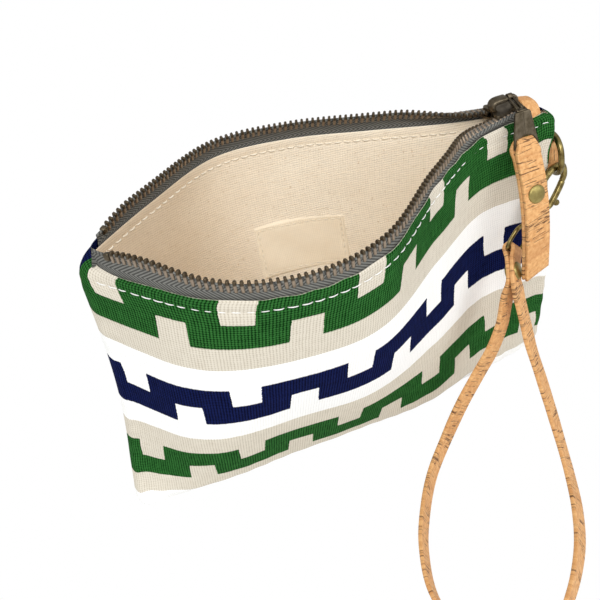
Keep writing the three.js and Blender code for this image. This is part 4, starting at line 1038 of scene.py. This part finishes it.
def clasp_hook():
    line = curve([
        (0, BARREL_LENGTH - 0.4), (-HOOK_BELLY * 0.55, BARREL_LENGTH + 2.5),
        (-HOOK_BELLY * 0.95, BARREL_LENGTH + HOOK_HEIGHT * 0.27), (-HOOK_BELLY * 0.75, HOOK_CROWN - 4.2),
        (0, HOOK_CROWN), (HOOK_REACH * 0.8, HOOK_CROWN - 2.6), (HOOK_REACH, HOOK_TIP),
    ], 10)
    skin = Skin()
    radii = np.linspace(2.0, 1.4, len(line))
    radii[-3:] *= BLUNT_END
    tube(skin, CLASP.plane(line), radii, CLASP.turn[2], 16)
    r, top = BARREL_RADIUS, BARREL_LENGTH
    barrel = [
        (0, top + 0.1), (r * 0.55, top + 0.1), (r * 0.8, top - 0.15), (r * 0.97, top - 0.7), (r, top - 1.2),
        (r * 0.94, top - 1.7), (r * 0.94, top - 2.6), (r, top - 3.0), (r, 1.2), (r * 0.96, 0.5),
        (r * 0.8, 0.1), (r * 0.6, 0), (0, 0.05),
    ]
    lathe(skin, CLASP, barrel, 28)
    px, py = GATE_PIVOT
    turns = np.radians(np.linspace(-17, 126, 12))
    cheek = np.concatenate([
        [(-r * 0.7, top - 1.2), (r * 0.8, top - 1.2), (px + 1.8, py - 0.6)],
        np.stack([px + 1.9 * np.cos(turns), py + 1.9 * np.sin(turns)], -1),
        [(-HOOK_BELLY * 0.5, top + 3.4)],
    ])
    slab(skin, CLASP, cheek, 1.5, 2.6, 0.25)
    slab(skin, CLASP, cheek, -2.6, -1.5, 0.25)
    skin.piece("hook_wire", WIRE, "clasp", "clasp_hook", slot="brass")


def gate():
    px, py = GATE_PIVOT
    line = curve([
        (px, py), (HOOK_REACH + 1.2, py + 3.2), (HOOK_REACH + 1, HOOK_TIP - 4),
        (HOOK_REACH + 0.1, HOOK_TIP + 0.1),
    ], 10)
    skin = Skin()
    radii = 1.2 + 0.35 * smoothstep(np.arange(len(line)), 4, 12)
    radii[-3:] *= BLUNT_END
    tube(skin, CLASP.plane(line), radii, CLASP.turn[2], 14)
    hub = Axes(CLASP((px, py, 0)), CLASP.turn[0], CLASP.turn[2], CLASP.turn[1])
    lathe(skin, hub, [(0, 1.2), (1.5, 1.2), (1.8, 0.95), (1.8, -0.95), (1.5, -1.2), (0, -1.2)], 20)
    knob = Axes(CLASP((HOOK_REACH + 1.4, py + 6.8, 0)), CLASP.turn[1], CLASP.turn[0], CLASP.turn[2])
    lathe(skin, knob, GATE_KNOB, 20)
    skin.piece("gate_finger", WIRE, "gate", "gate_lever", slot="brass")


def swivel_eye():
    half = STRAP_WIDTH / 2 + 1.3
    neck = -1.3
    right = [
        (0, neck), (2.5, neck - 0.3), (half - 1.6, neck - 2.2), (half, neck - 4.4),
        (half, -EYE_LENGTH + 1.2), (half - 1, -EYE_LENGTH), (0, -EYE_LENGTH),
    ]
    left = [(-x, y) for x, y in right[1:-1]]
    line = curve(right + left[::-1], 8, closed=True)
    axes = Axes(CLASP.origin, EYE_OUT, CLASP.turn[1], np.cross(EYE_OUT, CLASP.turn[1]))
    skin = Skin()
    tube(skin, axes.plane(line), 1.0, axes.turn[2], 14, closed=True)
    lathe(skin, axes, [(0, 1.5), (1.2, 1.5), (1.2, -0.9), (1.7, -1.3), (1.5, -2.0), (0, -2.2)], 20)
    skin.piece("eye_wire", WIRE, "eye", "swivel_eye", slot="brass")


# Wrist strap: folded over the eye's bar, riveted, and laid round on the table
STRAP_DROP = np.array([-0.208, -0.677, -0.706])
STRAP_DOWN = unit(STRAP_DROP - EYE_OUT * np.dot(STRAP_DROP, EYE_OUT))
STRAP_ACROSS = np.cross(EYE_OUT, STRAP_DOWN)
STRAP_FOLD = 2.25
STRAP_PINCH = 1.1
STRAP_STEPS = 420
STRAP_ROUTE = (
    (-0.077, -0.1, 0.81), (-0.108, -0.131, 0.67), (-0.154, -0.154, 0.53), (-0.215, -0.169, 0.39),
    (-0.3, -0.2, 0.24), (-0.4, -0.254, 0.08), (-0.508, -0.338, 0.01), (-0.608, -0.454, 0),
    (-0.692, -0.585, 0), (-0.746, -0.746, 0), (-0.723, -0.9, 0), (-0.615, -1, 0),
    (-0.469, -1, 0), (-0.346, -0.931, 0), (-0.215, -0.815, 0), (-0.123, -0.692, 0),
    (-0.054, -0.562, 0.01), (-0.015, -0.446, 0.08), (-0.008, -0.346, 0.24), (-0.015, -0.277, 0.39),
    (-0.023, -0.215, 0.53), (-0.031, -0.169, 0.67), (-0.038, -0.123, 0.81),
)


def held(across, down):
    return EYE_BAR + STRAP_ACROSS * across + STRAP_DOWN * down


def strap_path():
    turns = np.radians(np.linspace(180, 0, 13))
    fold = np.array([held(STRAP_FOLD * math.cos(a), -STRAP_FOLD * math.sin(a)) for a in turns])
    clear = RIVET_RADIUS + 1.2
    free = [EYE_BAR + np.array([x * STRAP_REACH, y * STRAP_REACH, (STRAP_REST - EYE_BAR[2]) * (1 - share)])
            for x, y, share in STRAP_ROUTE]
    top, foot = STRAP_RIVET_DROP - clear, STRAP_RIVET_DROP + clear
    pinched = [held(STRAP_PINCH, top), held(STRAP_PINCH, foot)]
    behind = [held(-STRAP_PINCH, foot), held(-STRAP_PINCH, top)]
    loop = np.concatenate([fold, curve(pinched + free[::-1] + behind, 12)])
    closed = np.concatenate([loop, loop[:1]])
    return along(closed, np.arange(STRAP_STEPS) / STRAP_STEPS * lengths(closed)[-1])


def wrist_strap():
    path = strap_path()
    lean = np.radians(STRAP_LEAN[0] + (STRAP_LEAN[1] - STRAP_LEAN[0]) * smoothstep(path[:, 0], 20, 70))
    leaning = np.stack([-np.sin(lean), np.zeros(len(lean)), np.cos(lean)], -1)
    grip = smoothstep(path[:, 2], EYE_BAR[2] * 0.1, EYE_BAR[2] * 0.75)[:, None]
    across = smoothed(leaning + (EYE_OUT - leaning) * grip, 12)
    skin = Skin()
    ribbon(skin, path, across, rounded_section(STRAP_WIDTH, CORK_THICKNESS, 0.5), closed=True)
    skin.piece("strap_cork", CORK, "strap", "wrist_strap", slot="cork")


def strap_rivets():
    rivets("strap", "strap", held(0, STRAP_RIVET_DROP), STRAP_ACROSS, EYE_OUT, STRAP_PINCH)


# Slider's crown: a fat rounded bar that thins where the puller's eye rides on it
CROWN = (
    (82.4, 154.3, 2.4, 0.8), (81.4, 155.4, 2.4, 1.0), (81.0, 156.8, 2.4, 1.1), (81.6, 158.0, 2.4, 1.2),
    (83.0, 158.5, 2.4, 1.25), (86.0, 158.6, 2.4, 1.25), (87.8, 158.65, 2.2, 1.15), (88.25, 158.7, 1.0, 0.6),
    (89.8, 158.7, 0.6, 0.45), (91.3, 158.7, 0.8, 0.5), (92.5, 158.3, 1.6, 0.8), (93.1, 157.0, 1.8, 0.8),
    (93.2, 155.4, 1.8, 0.8), (93.2, 154.3, 1.8, 0.8),
)
CROWN_SIDES = 20


def slider_crown():
    made = curve(CROWN, 5)
    path = np.stack([made[:, 0], np.full(len(made), CHAIN_Y), made[:, 1]], -1)
    side = np.array([0.0, 1.0, 0.0])
    up = np.cross(tangents(path), side)
    angles = np.arange(CROWN_SIDES) / CROWN_SIDES * 2 * math.pi
    wide, tall = (np.sign(f) * np.abs(f) ** 0.6 for f in (np.cos(angles), np.sin(angles)))
    points = path[:, None] + side * (wide * made[:, 2:3])[..., None]
    points = points + up[:, None] * (tall * made[:, 3:])[..., None]
    skin = Skin()
    skin.sweep(points, np.zeros((len(path), CROWN_SIDES + 1, 2)))
    skin.piece("slider_crown", ANTIQUE, "slider", "slider_bridge", slot="antique_brass")


# Puller: an eye on the crown, two arms, and a plate bent down with an arched window over its bar
PULLER = Axes((89.8, CHAIN_Y, 158.7), (1, 0, 0), (0, -0.9703, -0.24192), (0, 0.24192, -0.9703))
NECK_LENGTH = 10.2
PLATE_BEND = math.radians(53)
PLATE_HALF = 0.65
PLATE_FOOT = 16.05
WINDOW_TOP = 10.6
WINDOW_FOOT = 14.75
PLATE = Axes(
    PULLER((0, NECK_LENGTH, 0)), PULLER.turn[0],
    PULLER.turn[1] * math.cos(PLATE_BEND) + PULLER.turn[2] * math.sin(PLATE_BEND),
    PULLER.turn[2] * math.cos(PLATE_BEND) - PULLER.turn[1] * math.sin(PLATE_BEND),
)


def plate_grid():
    window = np.linspace(WINDOW_TOP, WINDOW_FOOT, 24)
    bar = np.linspace(WINDOW_FOOT, PLATE_FOOT, 6)
    down = np.concatenate([np.linspace(0, WINDOW_TOP, 18), window[1:], bar[1:]])
    half = np.interp(down, [0, 0.5, 1, 15, PLATE_FOOT], [3.3, 3.8, 4.0, 6.3, 5.9])
    rise = np.clip((WINDOW_FOOT - down) / (WINDOW_FOOT - WINDOW_TOP), 0, 1)
    hole = 5.0 * (1 - rise**2.6) ** 0.5
    return down, half, np.where((down <= WINDOW_TOP) | (down >= WINDOW_FOOT), 0, hole)


def puller():
    skin = Skin()
    eye = Axes(PULLER.origin, PULLER.turn[1], PULLER.turn[0], PULLER.turn[2])
    half = [(0.85, 1.1), (0.95, 1.25), (1.4, 1.25), (1.55, 1.1)]
    lathe(skin, eye, half + [(r, -h) for r, h in half[::-1]] + half[:1], 28)
    arm = np.array([(0.55, 1.3), (1.65, 1.3), (1.75, 5), (2.3, NECK_LENGTH), (0.6, NECK_LENGTH)])
    foot = NECK_LENGTH + 0.3
    neck = [(-2.4, 8.6), (2.4, 8.6), (2.6, foot), (-2.6, foot)]
    for outline in ((arm * [-1, 1])[::-1], arm, neck):
        slab(skin, PULLER, outline, -PLATE_HALF, PLATE_HALF, 0.2)
    down, half, hole = plate_grid()
    across = hole[:, None] + (half - hole)[:, None] * np.array([0, 0.06, 0.14, 0.5, 0.86, 0.94, 1])
    thick = np.tile(PLATE_HALF - 0.22 * np.array([1, 0.3, 0, 0, 0, 0.3, 1]), (len(down), 1))
    thick[hole == 0, 0] = PLATE_HALF
    for sign in (-1, 1):
        top = np.stack([sign * across, np.broadcast_to(down[:, None], across.shape), thick], -1)
        rings = np.concatenate([top, (top * [1, 1, -1])[:, ::-1]], 1)
        skin.sweep(PLATE(rings), np.zeros((len(down), rings.shape[1] + 1, 2)), flip=sign > 0)
    skin.piece("puller_plate", ANTIQUE, "puller", "puller", slot="antique_brass")


# Cast pieces keep their shape, with softened edges
def cast_metal(node, paint, edge):
    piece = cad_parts[node]
    piece.data.materials.clear()
    piece.data.materials.append(paint)
    soften = piece.modifiers.new("edge", "BEVEL")
    soften.width = edge * 0.001
    soften.segments = 3
    soften.limit_method = "ANGLE"
    soften.angle_limit = math.radians(40)
    soften.harden_normals = True


end_tab()
end_tab_stitches()
ring_tab()
pull_strip()
pull_rivets()
d_ring()
clasp_hook()
gate()
swivel_eye()
wrist_strap()
strap_rivets()
cast_metal("slider_body", ANTIQUE, 0.35)
slider_crown()
puller()
cast_metal("gate_pin", WIRE, 0.2)


# Camera, table and light
def add_camera():
    data = bpy.data.cameras.new("camera")
    data.lens = 41.87
    data.sensor_width = 36
    data.clip_start = 0.01
    data.clip_end = 20
    camera = placed("camera", data)
    right = Vector((0.9149, -0.3953, -0.0819))
    up = Vector((0.3249, 0.6005, 0.7307))
    back = right.cross(up).normalized()
    up = back.cross(right).normalized()
    right = up.cross(back)
    turn = Matrix((right, up, back)).transposed().to_4x4()
    place = Vector(row_frame([-96.55, -222.71, 308.61]))
    camera.matrix_world = Matrix.Translation(place) @ turn
    scene.camera = camera


def add_light(name, place, energy, size):
    light = bpy.data.lights.new(name, "AREA")
    light.energy = energy
    light.size = size
    lamp = placed(name, light)
    lamp.location = place
    lamp.rotation_euler = (Vector((0, 0, 0.08)) - lamp.location).to_track_quat("-Z", "Y").to_euler()


# White seen directly, a little darker as a source of light
def white_to_camera(tree, output, shader):
    path = tree.nodes.new("ShaderNodeLightPath")
    plain = tree.nodes.new("ShaderNodeEmission")
    plain.inputs["Color"].default_value = (1, 1, 1, 1)
    mixed = tree.nodes.new("ShaderNodeMixShader")
    tree.links.new(path.outputs["Is Camera Ray"], mixed.inputs[0])
    tree.links.new(shader, mixed.inputs[1])
    tree.links.new(plain.outputs[0], mixed.inputs[2])
    tree.links.new(mixed.outputs[0], output.inputs["Surface"])


def add_stage():
    bpy.ops.mesh.primitive_plane_add(size=6, location=(0, 0, 0))
    floor = bpy.context.object
    floor.name = "floor"
    paint = bpy.data.materials.new("floor")
    paint.use_nodes = True
    tree = paint.node_tree
    surface = tree.nodes["Principled BSDF"]
    surface.inputs["Base Color"].default_value = (0.85, 0.85, 0.85, 1)
    surface.inputs["Roughness"].default_value = 0.9
    white_to_camera(tree, tree.nodes["Material Output"], surface.outputs[0])
    floor.data.materials.append(paint)
    world = bpy.data.worlds.new("world")
    world.use_nodes = True
    tree = world.node_tree
    sky = tree.nodes["Background"]
    sky.inputs["Color"].default_value = (1, 1, 1, 1)
    sky.inputs["Strength"].default_value = 0.6
    white_to_camera(tree, tree.nodes["World Output"], sky.outputs[0])
    scene.world = world
    add_light("key", (-0.4, -0.45, 0.95), 6.4, 0.6)
    add_light("fill", (0.55, -0.75, 0.85), 5.0, 0.9)


add_camera()
add_stage()
scene.view_settings.view_transform = "Standard"
